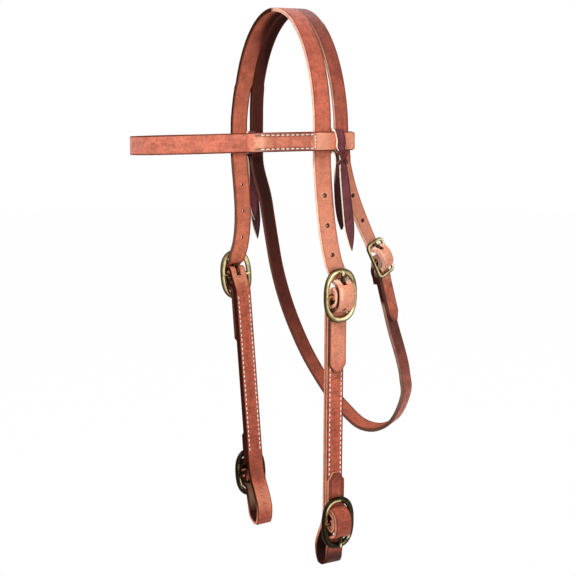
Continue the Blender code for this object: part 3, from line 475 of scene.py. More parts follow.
class Buckle:
    """A buckle's place, its sizes, and the routes of the leather that passes its bar.

    Its run is from the rim that the tongue rests on towards the rim that the tip passes,
    out is towards the side that the tongue is on, and across is along its bar.
    """

    def __init__(self, bar, run, across, height, width, rim, bar_size, tongue, corner, strap):
        self.bar = bar
        self.run = unit(run)
        self.across = unit(across - self.run * across.dot(self.run))
        self.out = self.run.cross(self.across)
        self.height = height
        self.width = width
        self.rim_radius = rim / 2
        self.bar_radius = bar_size / 2
        self.tongue_radius = tongue / 2
        self.corner = corner
        self.rise = 0.0 if corner else PUFF_RISE
        self.chape_radius = self.bar_radius + CLEARANCE + STRAP_THICKNESS / 2
        self.crest_radius = self.chape_radius + LAYER
        self.tongue_level = self.rim_radius + CLEARANCE + self.tongue_radius
        self.slot_half = self.tongue_radius + TONGUE_SIDE_ROOM
        self.toe = -(self.rim_radius + CLEARANCE + STRAP_THICKNESS / 2)
        self.toe_radius = STRAP_THICKNESS
        self.reach = self.rim_run_beside(strap / 2) - self.rim_radius
        self.spare = self.toe_radius + self.toe
        apart = hypot(self.reach, self.spare)
        tilt = atan2(self.spare, self.reach)
        self.slope = asin((self.crest_radius + self.toe_radius) / apart) - tilt
        self.back_radius = self.toe_radius + 2 * LAYER
        self.back_slope = asin((self.back_radius - self.chape_radius) / apart) - tilt

    def place(self, along, out, across=0.0):
        return self.bar + self.run * along + self.out * out + self.across * across

    def axes(self):
        """The matrix from (run, across, out) places to the headstall's."""
        matrix = Matrix((self.run, self.across, self.out)).transposed().to_4x4()
        matrix.translation = self.bar
        return matrix

    def rim_run_beside(self, across):
        """How far along its run the rim's centre line is, beside the strap's edge."""
        half_run = self.height / 2 - self.rim_radius
        if self.corner:
            return half_run
        share = across / (self.width / 2 - self.rim_radius)
        return half_run * (1 - share**OVAL_SQUARENESS) ** (1 / OVAL_SQUARENESS)

    def toe_turn(self, radius, slope):
        """(along, out) places round the rim, from the slope down to flat."""
        made = []
        for i in range(TURN_STEPS + 1):
            angle = slope * (1 - i / TURN_STEPS)
            made.append((self.reach - radius * sin(angle), self.spare - radius * cos(angle)))
        return made

    def over_bar(self):
        """A tight billet's (along, out) places from over the bar to past the rim."""
        made = []
        for i in range(TURN_STEPS + 1):
            angle = self.slope * i / TURN_STEPS
            made.append((self.crest_radius * sin(angle), self.crest_radius * cos(angle)))
        return made + self.toe_turn(self.toe_radius, self.slope)

    def puffed(self, inset=0.0):
        """A layer's (along, out) places, as over_bar, but standing up full off the bar."""
        steep = radians(PUFF_STEEPNESS)
        turn = self.toe_turn(self.toe_radius + inset, steep)
        toe = Vector(turn[0])
        crest = Vector((0.0, self.crest_radius + self.rise - inset))
        first = crest + Vector((toe.x * puff_crest_share, 0.0))
        second = toe + Vector((-cos(steep), sin(steep))) * (crest.y - toe.y) * puff_wall_share
        steps = 2 * TURN_STEPS
        made = []
        for i in range(steps):
            t = i / steps
            s = 1 - t
            point = crest * s**3 + first * 3 * s * s * t + second * 3 * s * t * t + toe * t**3
            made.append((point.x, point.y))
        return made + turn

    def tongue_crossing(self):
        """How far from the bar the tongue comes up through the billet."""
        rising = reversed(self.puffed()[:2 * TURN_STEPS])
        return next(along for along, out in rising if out > self.tongue_level)

    def chape_rise(self, angle):
        """How much further from the bar than a tight one the chape turns, from its front on."""
        slack = chape_slack_share * sin(angle) ** 2 if angle > 0 else 0.0
        return self.rise * ((1 + cos(angle)) / 2 + slack)

    def round_bar(self):
        """The chape's turn over the bar, from its front to where it leaves the back."""
        steps = 2 * TURN_STEPS
        made = []
        for i in range(1, steps + 1):
            angle = (pi - self.back_slope) * i / steps
            radius = self.chape_radius + self.chape_rise(angle)
            made.append((-radius * sin(angle), radius * cos(angle)))
        return made

    def behind_bar(self):
        """The chape's back layer, down from the bar to flat behind the front one."""
        start = self.round_bar()[-1]
        turn = self.toe_turn(self.back_radius, self.back_slope)
        made = []
        for i in range(1, TURN_STEPS):
            share = i / TURN_STEPS
            made.append(tuple(a + (b - a) * share for a, b in zip(start, turn[0])))
        return made + turn

def oval_outline(buckle):
    """The rim's centre line: a superellipse."""
    half_run = buckle.height / 2 - buckle.rim_radius
    half_across = buckle.width / 2 - buckle.rim_radius
    power = 2 / OVAL_SQUARENESS
    made = []
    for i in range(OVAL_STEPS):
        angle = 2 * pi * i / OVAL_STEPS
        run = half_run * copysign(abs(cos(angle)) ** power, cos(angle))
        across = half_across * copysign(abs(sin(angle)) ** power, sin(angle))
        made.append((run, across))
    return made


def square_outline(buckle):
    """The rim's centre line: a rectangle with round corners."""
    radius = buckle.corner
    half_run = buckle.height / 2 - buckle.rim_radius - radius
    half_across = buckle.width / 2 - buckle.rim_radius - radius
    made = []
    for quarter in range(4):
        run_sign = (1, -1, -1, 1)[quarter]
        across_sign = (1, 1, -1, -1)[quarter]
        for i in range(TURN_STEPS + 1):
            angle = pi / 2 * (quarter + i / TURN_STEPS)
            run = run_sign * half_run + radius * cos(angle)
            across = across_sign * half_across + radius * sin(angle)
            made.append((run, across))
    return made


def make_buckles():
    """Each buckle by its name."""
    sides = {
        "left": (NEAR_UPPER_BAR, NEAR_LOWER_BAR, 1),
        "right": (FAR_UPPER_BAR, FAR_LOWER_BAR, -1),
    }
    oval = (OVAL_HEIGHT, OVAL_WIDTH, OVAL_RIM, OVAL_BAR, OVAL_TONGUE, 0.0, CHEEK_WIDTH)
    square = (SQUARE_HEIGHT, SQUARE_WIDTH, SQUARE_RIM, SQUARE_BAR, SQUARE_TONGUE)
    made = {}
    for side, (upper, lower, sign) in sides.items():
        run = lower - upper
        made[side + "_upper"] = Buckle(upper, run, Vector((0, sign, 0)), *oval)
        made[side + "_lower"] = Buckle(lower, -run, Vector((0, -sign, 0)), *oval)
    made["throat"] = Buckle(
        THROAT_BAR, throat_run_share, throat_across_share, *square, SQUARE_CORNER, REAR_STRAP_WIDTH
    )
    return made


def cheek_route(upper, lower, drop):
    """The whole cheek strap in one line, from the end tucked behind the lower bar.

    Drop is how far its bit loop hangs below the lower bar.
    """
    length = (lower.bar - upper.bar).length
    inner_depth = upper.toe - 2 * LAYER
    tucked = [p for p in lower.behind_bar() if p[0] <= TUCKED_END]
    flat = [(length - along, out) for along, out in reversed(tucked)]
    flat += [(length - along, out) for along, out in reversed(lower.round_bar())]
    flat += [(length - along, out) for along, out in lower.puffed(LAYER)]
    flat += list(reversed(upper.puffed(LAYER)))
    flat += upper.round_bar()
    flat += upper.behind_bar()
    inner = [Vector((length - lower.reach, inner_depth))]
    for share, depth in inner_loop_shares:
        along = length + drop * share
        inner.append(Vector((along, inner_depth - (BIT_LOOP_DEPTH - BIT_LOOP_SET_BACK) * depth)))
    bottom = length + drop
    middle = inner_depth + BIT_LOOP_SET_BACK - BIT_LOOP_DEPTH / 2
    inner.append(Vector((bottom, middle - BIT_SEAT / 2)))
    front = upper.toe - BIT_LOOP_SET_BACK
    outer = [Vector((bottom, middle + BIT_SEAT / 2))]
    for share, depth in outer_loop_shares:
        outer.append(Vector((length + drop * share, front - BIT_LOOP_DEPTH * depth)))
    entry = lower.reach
    outer.append(Vector((length + entry, lower.toe)))
    flat += through(inner, STATION_STEP / 2)
    flat += through(outer, STATION_STEP / 2)[:-1]
    flat += [(length + along, out) for along, out in reversed(lower.puffed())]
    flat += [(length - along, out) for along, out in lower.puffed()[1:]]
    route = [upper.place(along, out) for along, out in flat]
    tip_run = LOWER_TIP_LENGTH - lower.reach
    route += straight_to_tip(route[-1], -upper.run, tip_run, STATION_STEP)
    return route


def split_gap(depth, split_depth):
    """The gap between the two straps of the crown at a depth below the poll."""
    if depth <= split_depth:
        return 0.0
    share = (depth - split_depth) / (BROWBAND_DEPTH - BROWBAND_WIDTH - split_depth)
    return SPLIT_END_GAP + (STRAP_GAP - SPLIT_END_GAP) * min(share, 1.0)


def arch_places(side):
    """The crown's arch on one side, from the poll's flat down to the parallel straps."""
    start = asin(POLL_FLAT / 2 / CROWN_HALF_SPAN)
    steps = ceil(CROWN_HALF_SPAN * pi / 2 / STATION_STEP)
    made = []
    for i in range(steps + 1):
        angle = start + (pi / 2 - start) * i / steps
        z = STRAP_THICKNESS / 2 + CROWN_RISE * (cos(angle) - cos(start))
        made.append((side * CROWN_HALF_SPAN * sin(angle), z))
    foot = made[-1][1]
    runs = ceil((PARALLEL_DEPTH + foot) / (2 * STATION_STEP))
    for i in range(1, runs + 1):
        made.append((side * CROWN_HALF_SPAN, foot - (PARALLEL_DEPTH + foot) * i / runs))
    return made


def arch_row(x, z, split_depth):
    """Front edge, front inner edge, rear inner edge and rear edge of the crown."""
    gap = split_gap(-z, split_depth)
    front = SPLIT_OFFSET - gap / 2
    rear = SPLIT_OFFSET + gap / 2
    ys = (front - FRONT_STRAP_WIDTH, front, rear, rear + REAR_STRAP_WIDTH)
    return [Vector((x, y, z)) for y in ys]


def strip_start(side, inner, outer):
    """Where a crown strap leaves the parallel run, midway between its edges."""
    row = arch_row(side * CROWN_HALF_SPAN, -PARALLEL_DEPTH, 0.0)
    return (row[inner] + row[outer]) / 2


def offset_layer(points, across, depth):
    """The same route one or more layers further in, square to the strap's face."""
    ways = directions(points)
    return [point - unit(way.cross(across)) * depth for point, way in zip(points, ways)]


def extra_length(buckle):
    """How much longer the full billet is, from its bar to past the rim, than the tight one."""
    full, tight = (
        lengths_along([Vector((*place, 0.0)) for place in places])[-1]
        for places in (buckle.puffed(), buckle.over_bar())
    )
    return full - tight


def billet_end(buckle, way, tip_length):
    """From past the rim to the tip: a short turn into the way, and then straight."""
    start = buckle.place(buckle.reach, buckle.toe)
    knee = start + way * THROAT_KNEE
    turn = bridge(start, buckle.run, knee, way, THROAT_KNEE / 2)
    rest = tip_length - buckle.reach - THROAT_KNEE
    return turn, straight_to_tip(knee, way, rest, STATION_STEP)


def billet_route(start, start_way, buckle, end_way, tip_length, lean):
    """From the parallel run through a buckle to the tip, with its length at two places:
    where it comes square to the buckle, and at the bar."""
    entry = buckle.place(-(buckle.height / 2 + 2 * buckle.rim_radius), buckle.toe, -lean)
    slant = billet_slant_share * lean / BILLET_LEAN
    entry_way = unit(buckle.run + buckle.across * slant)
    route = bridge(start, start_way, entry, entry_way, 2 * STATION_STEP)
    at_entry = lengths_along(route)[-1]
    before = [(-along, out) for along, out in reversed(buckle.puffed())]
    route += [buckle.place(along, out) for along, out in before]
    at_bar = lengths_along(route)[-1]
    route += [buckle.place(along, out) for along, out in buckle.puffed()[1:]]
    turn, straight = billet_end(buckle, end_way, tip_length)
    route += turn[1:] + straight
    return route, at_entry, at_bar


def billet_strip(start, start_way, buckle, end_way, tip_length, width, lean, set_back):
    """Rows of a billet, front edge first, and where its holes are punched.

    The holes run up past the buckle, on to the parallel straps where they reach it. The
    last three are how far along the billet its bar, its tongue's hole and its tip are.
    """
    route, at_entry, at_bar = billet_route(start, start_way, buckle, end_way, tip_length, lean)
    across = buckle.across * copysign(1.0, buckle.across.y)
    lengths = lengths_along(route)
    back = Vector((0, 1, 0))
    acrosses = [unit(back.lerp(across, min(1.0, length / at_entry))) for length in lengths]
    rows = strap_rows(route, acrosses, tip_half_widths(route, width))
    tongue_hole = at_bar - buckle.crest_radius / sin(buckle.slope) - set_back
    tongue_hole -= extra_length(buckle)
    above = HOLES_ABOVE * HOLE_SPACING
    line = [start + Vector((0, 0, above))] + route
    sides = [back] + acrosses
    marks = lengths_along(line)
    holes = []
    for step in (*range(-HOLES_ABOVE, 0), 1):
        target = above + tongue_hole + step * HOLE_SPACING
        if step > 0:
            target += NEXT_HOLE_FORWARD
        i = last_within(marks, target)
        share = (target - marks[i]) / (marks[i + 1] - marks[i])
        way = unit(line[i + 1] - line[i]).cross(sides[i])
        holes.append((line[i].lerp(line[i + 1], share), way))
    return rows, holes, at_bar, tongue_hole, lengths[-1]


def throatlatch_strip(start, buckle):
    """Rows of the far tail: round under the jaw, up to its buckle and over the bar."""
    places = [
        Vector((x * CROWN_HALF_SPAN, y * THROAT_REACH, -z * THROAT_DROP))
        for (x, y, z), _ in throat_shares
    ]
    down = Vector((0, 0, -1))
    first_way = unit(places[1] - places[0])
    last_way = unit(places[-1] - places[-2])
    turn, straight = billet_end(buckle, throat_limb_share, THROAT_TIP_LENGTH)
    limb = offset_layer(turn + straight, buckle.across, LAYER)
    step = 1.5 * STATION_STEP
    route = bridge(start, down, places[0], first_way, step)
    marks = [0, len(route) - 1]
    for a, b in zip(places, places[1:]):
        marks.append(marks[-1] + max(2, ceil((b - a).length / step)))
    route += through(places, step)[1:]
    route += bridge(route[-1], last_way, limb[-1], -throat_limb_share, step)[1:]
    marks.append(len(route) - 1)
    turns = [Vector((0, 1, 0)), *(Vector(turned) for _, turned in throat_shares), buckle.across]
    acrosses = []
    for i in range(len(route)):
        k = last_within(marks[:-1], i)
        share = (i - marks[k]) / (marks[k + 1] - marks[k])
        acrosses.append(unit(turns[k].lerp(turns[k + 1], share)))
    flat = buckle.puffed(LAYER)[-2::-1] + buckle.round_bar() + buckle.behind_bar()
    rest = limb[-2::-1]
    rest += [buckle.place(along, out) for along, out in flat]
    rest += offset_layer(turn, buckle.across, 2 * LAYER)[1:]
    route += rest
    acrosses += [buckle.across] * len(rest)
    return strap_rows(route, acrosses, [REAR_STRAP_WIDTH / 2] * len(route))


def browband_half():
    """The browband's near half in plan, from its stitched inner end to the front."""
    outer = CROWN_HALF_SPAN + LAYER
    inner = CROWN_HALF_SPAN - LAYER
    strap_front = SPLIT_OFFSET - STRAP_GAP / 2 - FRONT_STRAP_WIDTH
    closed = strap_front - CLEARANCE - LOOP_CLOSING
    made = [(outer - LAYER, closed + LOOP_CLOSING - STITCHED_LENGTH)]
    for i in range(TURN_STEPS + 1):
        share = i / TURN_STEPS
        x = outer - LAYER - (outer - LAYER - inner) * (1 - cos(pi * share)) / 2
        made.append((x, closed + LOOP_CLOSING * share))
    steps = 2 * TURN_STEPS
    for i in range(steps + 1):
        angle = pi * i / steps
        made.append((CROWN_HALF_SPAN - LAYER * cos(angle), LOOP_END + LAYER * sin(angle)))
    run = LOOP_END + BROWBAND_STRAIGHT
    for i in range(1, TURN_STEPS + 1):
        made.append((outer, LOOP_END - run * i / TURN_STEPS))
    arc_steps = ceil(outer * pi / 2 / (1.5 * STATION_STEP))
    for i in range(1, arc_steps + 1):
        angle = pi / 2 * i / arc_steps
        made.append((outer * cos(angle), -BROWBAND_STRAIGHT - outer * sin(angle)))
    return made


def browband_height(x, y):
    """The band's middle height: it droops to the front, and its far side hangs lower."""
    outer = CROWN_HALF_SPAN + LAYER
    reach = BROWBAND_STRAIGHT + outer
    droop = min(max((-y - LOOP_END) / (reach - LOOP_END), 0.0), 1.0)
    round_front = (1 - x / outer) / 2 if y < -BROWBAND_STRAIGHT else float(x < 0)
    return -BROWBAND_DEPTH - BROWBAND_DROOP * droop**2 - BROWBAND_TILT * round_front


def tie_places(side):
    """(place, half width) along a tie: long tail, once round the band, short tail."""
    stand_off = LAYER + STRAP_THICKNESS / 2 + CLEARANCE + TIE_THICKNESS / 2
    outside, inside = CROWN_HALF_SPAN + stand_off, CROWN_HALF_SPAN - stand_off
    behind = outside - TIE_THICKNESS - CLEARANCE
    strap_outside = CROWN_HALF_SPAN + STRAP_THICKNESS / 2
    strap_inside = CROWN_HALF_SPAN - STRAP_THICKNESS / 2
    edge = BROWBAND_WIDTH / 2 + CLEARANCE + TIE_THICKNESS / 2
    height = browband_height(side * CROWN_HALF_SPAN, LOOP_END)
    top, bottom = height + edge, height - edge
    room = (NEAR_UPPER_DOWN if side > 0 else FAR_UPPER_DOWN) - BROWBAND_DEPTH
    turn = CLEARANCE + TIE_THICKNESS / 2
    corner = turn * (1 - cos(pi / 4))
    gap = SPLIT_OFFSET
    face = gap + TIE_POSITION
    between = (face + gap) / 2
    knot = face + TAIL_LAY / 2
    half, pinched, tail = TIE_WIDTH / 2, TIE_PINCHED_WIDTH / 2, TIE_TAIL_WIDTH / 2
    narrow, wide = (TIE_THICKNESS * share for share in tie_pinch_shares)
    made = []
    for share, width_share in long_tail_shares:
        x = outside + CLEARANCE + TAIL_FLARE * share
        y = knot + (TAIL_LAY + TAIL_SPREAD) * share
        z = bottom - room * long_tail_length_share * share
        made.append((x, y, z, tail * width_share))
    made += [
        (outside + CLEARANCE, knot, bottom, tie_knot_share * half),
        (outside, face, bottom + edge / 2, half),
        (outside, face, bottom + edge, half),
        (outside, face, bottom + 3 * edge / 2, half),
        (outside, face, top - turn, half),
        (outside - corner, face, top - corner, half),
        (outside - turn, face, top, half),
        (strap_outside + wide, between, top, half),
        (strap_outside + narrow, gap, top, pinched),
        (strap_inside - narrow, gap, top, pinched),
        (strap_inside - wide, gap, top, half),
        (inside + corner, gap, top - corner, half),
        (inside, gap, top - turn, half),
        (inside, gap, bottom + turn, half),
        (inside + corner, gap, bottom + corner, half),
        (strap_inside - wide, gap, bottom, half),
        (strap_inside - narrow, gap, bottom, pinched),
        (strap_outside + narrow, gap, bottom, pinched),
        (strap_outside + wide, between, bottom, half),
        (behind, face, bottom - turn, half),
    ]
    aside = -SHORT_TAIL_FORWARD if side > 0 else FAR_SHORT_TAIL_BACK
    for share, width_share in short_tail_shares:
        y = face + TAIL_LAY * share + aside * min(1.0, 4 * share)
        z = bottom - turn - room * short_tail_length_share * share
        made.append((behind + TAIL_FLARE * share, y, z, tail * width_share))
    places = []
    for x, y, z, width in made:
        share = (z - bottom) / (top - bottom)
        if x > strap_outside + wide and 0.0 <= share <= 1.0:
            y += WRAP_BOW * (sin(pi * share) - wrap_slant_share * share)
        places.append((Vector((side * x, y, z)), width))
    return places


# Materials, with the sizes of their patterns in millimetres


def linear(red, green, blue):
    """A colour given as the screen shows it, 0 to 255, for a shader."""
    made = []
    for value in (red, green, blue):
        share = value / 255
        made.append(share / 12.92 if share <= 0.04045 else ((share + 0.055) / 1.055) ** 2.4)
    return (*made, 1.0)


def shaded(color, share):
    """A darker or lighter colour of the same hue."""
    return (*(value * share for value in color[:3]), 1.0)


class Graph:
    """A material's nodes, added one call at a time."""

    def __init__(self, name):
        self.material = bpy.data.materials.new(name)
        self.material.use_nodes = True
        self.tree = self.material.node_tree
        self.shader = self.tree.nodes["Principled BSDF"]

    def put(self, socket, value):
        if isinstance(value, bpy.types.NodeSocket):
            self.tree.links.new(value, socket)
        else:
            socket.default_value = value

    def node(self, kind, inputs=(), **settings):
        made = self.tree.nodes.new(kind)
        for key, value in settings.items():
            setattr(made, key, value)
        for key, value in dict(inputs).items():
            self.put(made.inputs[key], value)
        return made

    def math(self, operation, first, second=0.0, third=0.0, clamp=False):
        inputs = {0: first, 1: second, 2: third}
        made = self.node("ShaderNodeMath", inputs, operation=operation, use_clamp=clamp)
        return made.outputs[0]

    def times(self, first, second, clamp=False):
        return self.math("MULTIPLY", first, second, clamp=clamp)

    def add_part(self, part, share, rest):
        """The rest, with the part times the share added."""
        return self.math("MULTIPLY_ADD", part, share, rest)

    def distance(self, value, middle):
        return self.math("ABSOLUTE", self.math("SUBTRACT", value, middle))

    def step(self, value, low, high, start=0.0, end=1.0):
        """Start below low, end above high, and a smooth change between them."""
        inputs = {"Value": value, "From Min": low, "From Max": high, "To Min": start, "To Max": end}
        made = self.node("ShaderNodeMapRange", inputs, interpolation_type="SMOOTHSTEP")
        return made.outputs["Result"]

    def fade(self, value, low, high):
        """1 below low, 0 above high, and a smooth change between them."""
        return self.step(value, low, high, 1.0, 0.0)

    def mix(self, factor, first, second, blend="MIX"):
        made = self.node("ShaderNodeMix", data_type="RGBA", blend_type=blend)
        self.put(made.inputs[0], factor)
        self.put(made.inputs[6], first)
        self.put(made.inputs[7], second)
        return made.outputs[2]

    def over(self, shade, mask, strength, color):
        """The shade with the color over it where the mask is."""
        return self.mix(self.times(mask, strength), shade, color)

    def uv(self, name):
        """The two values that a UV map of the piece holds."""
        made = self.node("ShaderNodeUVMap", uv_map=name)
        split = self.node("ShaderNodeSeparateXYZ", {0: made.outputs[0]})
        return split.outputs[0], split.outputs[1]

    def place(self):
        """The place on the piece at rest, in millimetres."""
        made = self.node("ShaderNodeTexCoord")
        scaled = self.node("ShaderNodeVectorMath", {0: made.outputs["Object"]}, operation="SCALE")
        scaled.inputs["Scale"].default_value = 1 / MM
        return scaled.outputs[0]

    def moved_place(self, *offset):
        """The place on the piece, moved so that pieces don't share one pattern."""
        return self.node("ShaderNodeVectorMath", {0: self.place(), 1: offset}).outputs[0]

    def vector(self, x, y, z):
        return self.node("ShaderNodeCombineXYZ", {0: x, 1: y, 2: z}).outputs[0]

    def noise(self, vector, size, detail=4.0, roughness=0.55, distortion=0.0):
        inputs = {
            "Vector": vector,
            "Scale": 1 / size,
            "Detail": detail,
            "Roughness": roughness,
            "Distortion": distortion,
        }
        return self.node("ShaderNodeTexNoise", inputs).outputs[0]

    def cells(self, vector, size):
        inputs = {"Vector": vector, "Scale": 1 / size}
        return self.node("ShaderNodeTexVoronoi", inputs).outputs["Distance"]

    def bump(self, height, distance, strength):
        inputs = {"Height": height, "Distance": distance, "Strength": strength}
        return self.node("ShaderNodeBump", inputs).outputs[0]

    def finish(self, color, roughness, normal, metallic=0.0, specular=0.5):
        """The material, with these in its shader."""
        self.put(self.shader.inputs["Base Color"], color)
        self.put(self.shader.inputs["Roughness"], roughness)
        self.put(self.shader.inputs["Normal"], normal)
        self.shader.inputs["Metallic"].default_value = metallic
        self.shader.inputs["Specular IOR Level"].default_value = specular
        return self.material


def with_painted_lighting(g, shade, color, painted_lighting):
    """Paints light on the shade where the painted lighting is above 0, towards a pale tan and above
    1.1 a near-white highlight, and paints shade below 0, down to nearly black.
    """
    pale = g.mix(0.6, shaded(color, 1.35), linear(250, 190, 154))
    shade = g.mix(g.times(painted_lighting, 0.9, clamp=True), shade, pale)
    shade = g.mix(g.math("SUBTRACT", painted_lighting, 1.1, clamp=True), shade, linear(255, 236, 222))
    darkened = g.times(painted_lighting, -1.32, clamp=True)
    shade = g.mix(darkened, shade, PAINTED_SHADE_FILTER, "MULTIPLY")
    blackened = g.math("MULTIPLY_ADD", painted_lighting, -2.0, -1.0, clamp=True)
    return g.mix(blackened, shade, linear(52, 29, 27))


def punched_rings(g, across, hole_run):
    """The lip round each punched hole, painted dark as shade, and the ring round it, painted pale
    as a highlight.
    """
    pitch = HOLE_SPACING / MM
    run = g.math("WRAP", hole_run, pitch / 2, -pitch / 2)
    radius = g.math("SQRT", g.math("ADD", g.math("POWER", run, 2.0), g.times(across, across)))
    above = g.math("GREATER_THAN", hole_run, -(HOLES_ABOVE + 0.5) * pitch)
    in_range = g.times(above, g.math("LESS_THAN", hole_run, 1.5 * pitch))
    lip = g.times(g.fade(radius, 1.7, 2.4), in_range)
    ring = g.times(g.step(radius, 2.2, 2.7), g.fade(radius, 2.8, 4.4))
    return lip, g.times(ring, in_range)


def grain_leather(name, color, seed):
    """The smooth side: mottled, creased across where it bends, with painted light and shade, and a
    painted dark outline at its edges.
    """
    g = Graph(name)
    across, along = g.uv("flat")
    edge, hole_run = g.uv("trim")
    sewn, creased = g.uv("state")
    painted_lighting, _ = g.uv("painted_lighting")
    place = g.moved_place(seed, 2 * seed, 3 * seed)
    blotch = g.noise(place, 9.0, 3.0, 0.6, 0.3)
    mottle = g.noise(place, 3.0, 6.0, 0.72)
    fibre = g.noise(g.vector(g.times(across, 0.8), g.times(along, 0.16), seed), 1.6, 4.0)
    grain = g.cells(place, 0.62)
    pores = g.noise(place, 0.34, 2.0)
    shade = g.mix(g.step(blotch, 0.35, 0.65), shaded(color, 0.8), shaded(color, 1.2))
    shade = g.mix(g.step(mottle, 0.46, 0.64, 0.0, 0.44), shade, shaded(color, 0.5))
    shade = g.mix(g.step(fibre, 0.5, 0.66, 0.0, 0.36), shade, shaded(color, 1.5))
    # Painted light and shade
    shade = with_painted_lighting(g, shade, color, painted_lighting)

    # Creases across a bend, and loose lines anywhere, drawn darker as painted shade in them
    crease = g.noise(g.vector(g.times(across, 0.1), along, seed), 1.1, 3.0, 0.55, 0.35)
    crease_line = g.times(g.step(crease, 0.5, 0.6), creased)
    shade = g.over(shade, crease_line, 0.6, shaded(color, 0.3))
    loose_place = g.vector(g.times(across, 0.45), g.times(along, 0.8), seed)
    loose = g.noise(loose_place, 4.0, 5.0, 0.6, 1.4)
    loose_line = g.fade(g.distance(loose, 0.5), 0.0, 0.02)
    shade = g.over(shade, loose_line, 0.42, shaded(color, 0.36))

    # The groove that the stitches lie in, darkened as painted shade in it, the leather beside it,
    # darker too, and the rim, painted dark as an outline, less where painted light is
    inset = STITCH_INSET / MM
    groove = g.times(g.fade(g.distance(edge, inset), 0.5, 1.15), sewn)
    shade = g.over(shade, groove, 0.78, shaded(color, 0.26))
    rib = g.times(g.fade(edge, inset + 0.8, inset + 3.2), sewn)
    shade = g.over(shade, rib, 0.3, shaded(color, 0.5))
    rim = g.fade(edge, 0.4, 1.7)
    rim_strength = g.add_part(g.times(painted_lighting, 1.0, clamp=True), -0.5, 0.68)
    shade = g.over(shade, rim, rim_strength, shaded(color, 0.22))

    # A painted shadow on each punched hole's lip and a painted highlight on the ring round it
    lip, halo = punched_rings(g, across, hole_run)
    halo_shade = g.mix(0.6, shaded(color, 1.3), linear(250, 190, 150))
    shade = g.over(shade, halo, 0.5, halo_shade)
    shade = g.over(shade, lip, 0.86, shaded(color, 0.14))

    height = g.add_part(grain, 0.3, g.times(pores, 0.25))
    for part, share in (
        (mottle, 0.9),
        (blotch, 2.0),
        (crease_line, -2.4),
        (loose_line, -0.7),
        (groove, -4.5),
        (rim, -1.5),
        (lip, -3.0),
        (halo, 1.2),
    ):
        height = g.add_part(part, share, height)
    rough = g.step(mottle, 0.3, 0.7, 0.36, 0.54)
    return g.finish(shade, rough, g.bump(height, 0.1 * MM, 0.9), specular=0.14)


def flesh_leather(name, color, seed):
    """The rough side: a dull nap with darker patches and a few wrinkles, painted light and shade,
    and a painted dark outline at its edges.
    """
    g = Graph(name)
    across, along = g.uv("flat")
    edge, _ = g.uv("trim")
    painted_lighting, _ = g.uv("painted_lighting")
    place = g.moved_place(seed, 2 * seed, 3 * seed)
    blotch = g.noise(place, 9.0, 4.0, 0.6)
    nap = g.noise(place, 0.8, 6.0, 0.75)
    wrinkle_place = g.vector(g.times(across, 0.35), g.times(along, 0.6), seed)
    wrinkle = g.noise(wrinkle_place, 5.0, 4.0, 0.6, 2.2)
    wrinkle_line = g.fade(g.distance(wrinkle, 0.5), 0.0, 0.03)
    shade = g.mix(g.step(blotch, 0.3, 0.7), shaded(color, 0.75), shaded(color, 1.15))
    shade = g.mix(g.step(nap, 0.4, 0.7, 0.0, 0.5), shade, shaded(color, 0.55))
    shade = g.over(shade, wrinkle_line, 0.4, shaded(color, 1.6))
    shade = with_painted_lighting(g, shade, color, painted_lighting)
    # A painted dark outline at its edges
    shade = g.over(shade, g.fade(edge, 0.7, 1.9), 0.72, shaded(color, 0.2))
    height = g.add_part(wrinkle_line, 0.9, g.add_part(blotch, 1.5, nap))
    return g.finish(shade, 0.8, g.bump(height, 0.14 * MM, 0.9), specular=0.0)


def cut_edge(name, color, core, seed):
    """A burnished cut edge: fine lengthwise fibre, with painted shade where the sheet marks it dark
    and a painted highlight where it marks it below 0.
    """
    g = Graph(name)
    _, along = g.uv("flat")
    _, dark = g.uv("painted_lighting")
    place = g.moved_place(seed, 2 * seed, 3 * seed)
    patch = g.noise(place, 9.0, 3.0, 0.6)
    streak = g.noise(g.vector(g.times(along, 0.25), g.noise(place, 3.0), seed), 0.5, 4.0)
    fibre = g.noise(place, 0.5, 5.0, 0.7)
    shade = g.mix(g.step(patch, 0.35, 0.65), color, core)
    shade = g.mix(g.step(streak, 0.48, 0.7, 0.0, 0.4), shade, shaded(color, 0.6))
    shade = g.mix(g.step(fibre, 0.5, 0.75, 0.0, 0.3), shade, shaded(color, 0.5))
    # Painted shade where the sheet marks the edge dark, and a painted highlight where it marks it
    # below 0
    shade = g.mix(g.times(dark, 1.0, clamp=True), shade, linear(56, 24, 18))
    shade = g.mix(g.times(dark, -1.0, clamp=True), shade, linear(244, 182, 154))
    height = g.math("ADD", fibre, streak)
    return g.finish(shade, 0.6, g.bump(height, 0.08 * MM, 0.8), specular=0.0)


def dark_wall(name, color):
    """The raw leather inside a punched hole or a slot, painted dark as the shade inside it."""
    g = Graph(name)
    fibre = g.noise(g.place(), 0.5, 4.0, 0.7)
    shade = g.mix(g.step(fibre, 0.35, 0.7), color, shaded(color, 2.1))
    return g.finish(shade, 0.8, g.bump(fibre, 0.1 * MM, 0.8), specular=0.2)


def thread(name):
    """Waxed thread: cream, twisted, and a little soiled in the leather."""
    g = Graph(name)
    place = g.place()
    soil = g.noise(place, 3.0, 3.0)
    inputs = {"Vector": place, "Scale": 1.6, "Distortion": 0.4}
    wave = g.node("ShaderNodeTexWave", inputs, bands_direction="DIAGONAL")
    twist = wave.outputs["Fac"]
    soiled = g.step(soil, 0.35, 0.7, 0.0, 0.5)
    shade = g.mix(soiled, linear(255, 246, 234), linear(240, 204, 180))
    shade = g.over(shade, twist, 0.15, linear(206, 162, 136))
    return g.finish(shade, 0.62, g.bump(twist, 0.12 * MM, 0.8), specular=0.3)


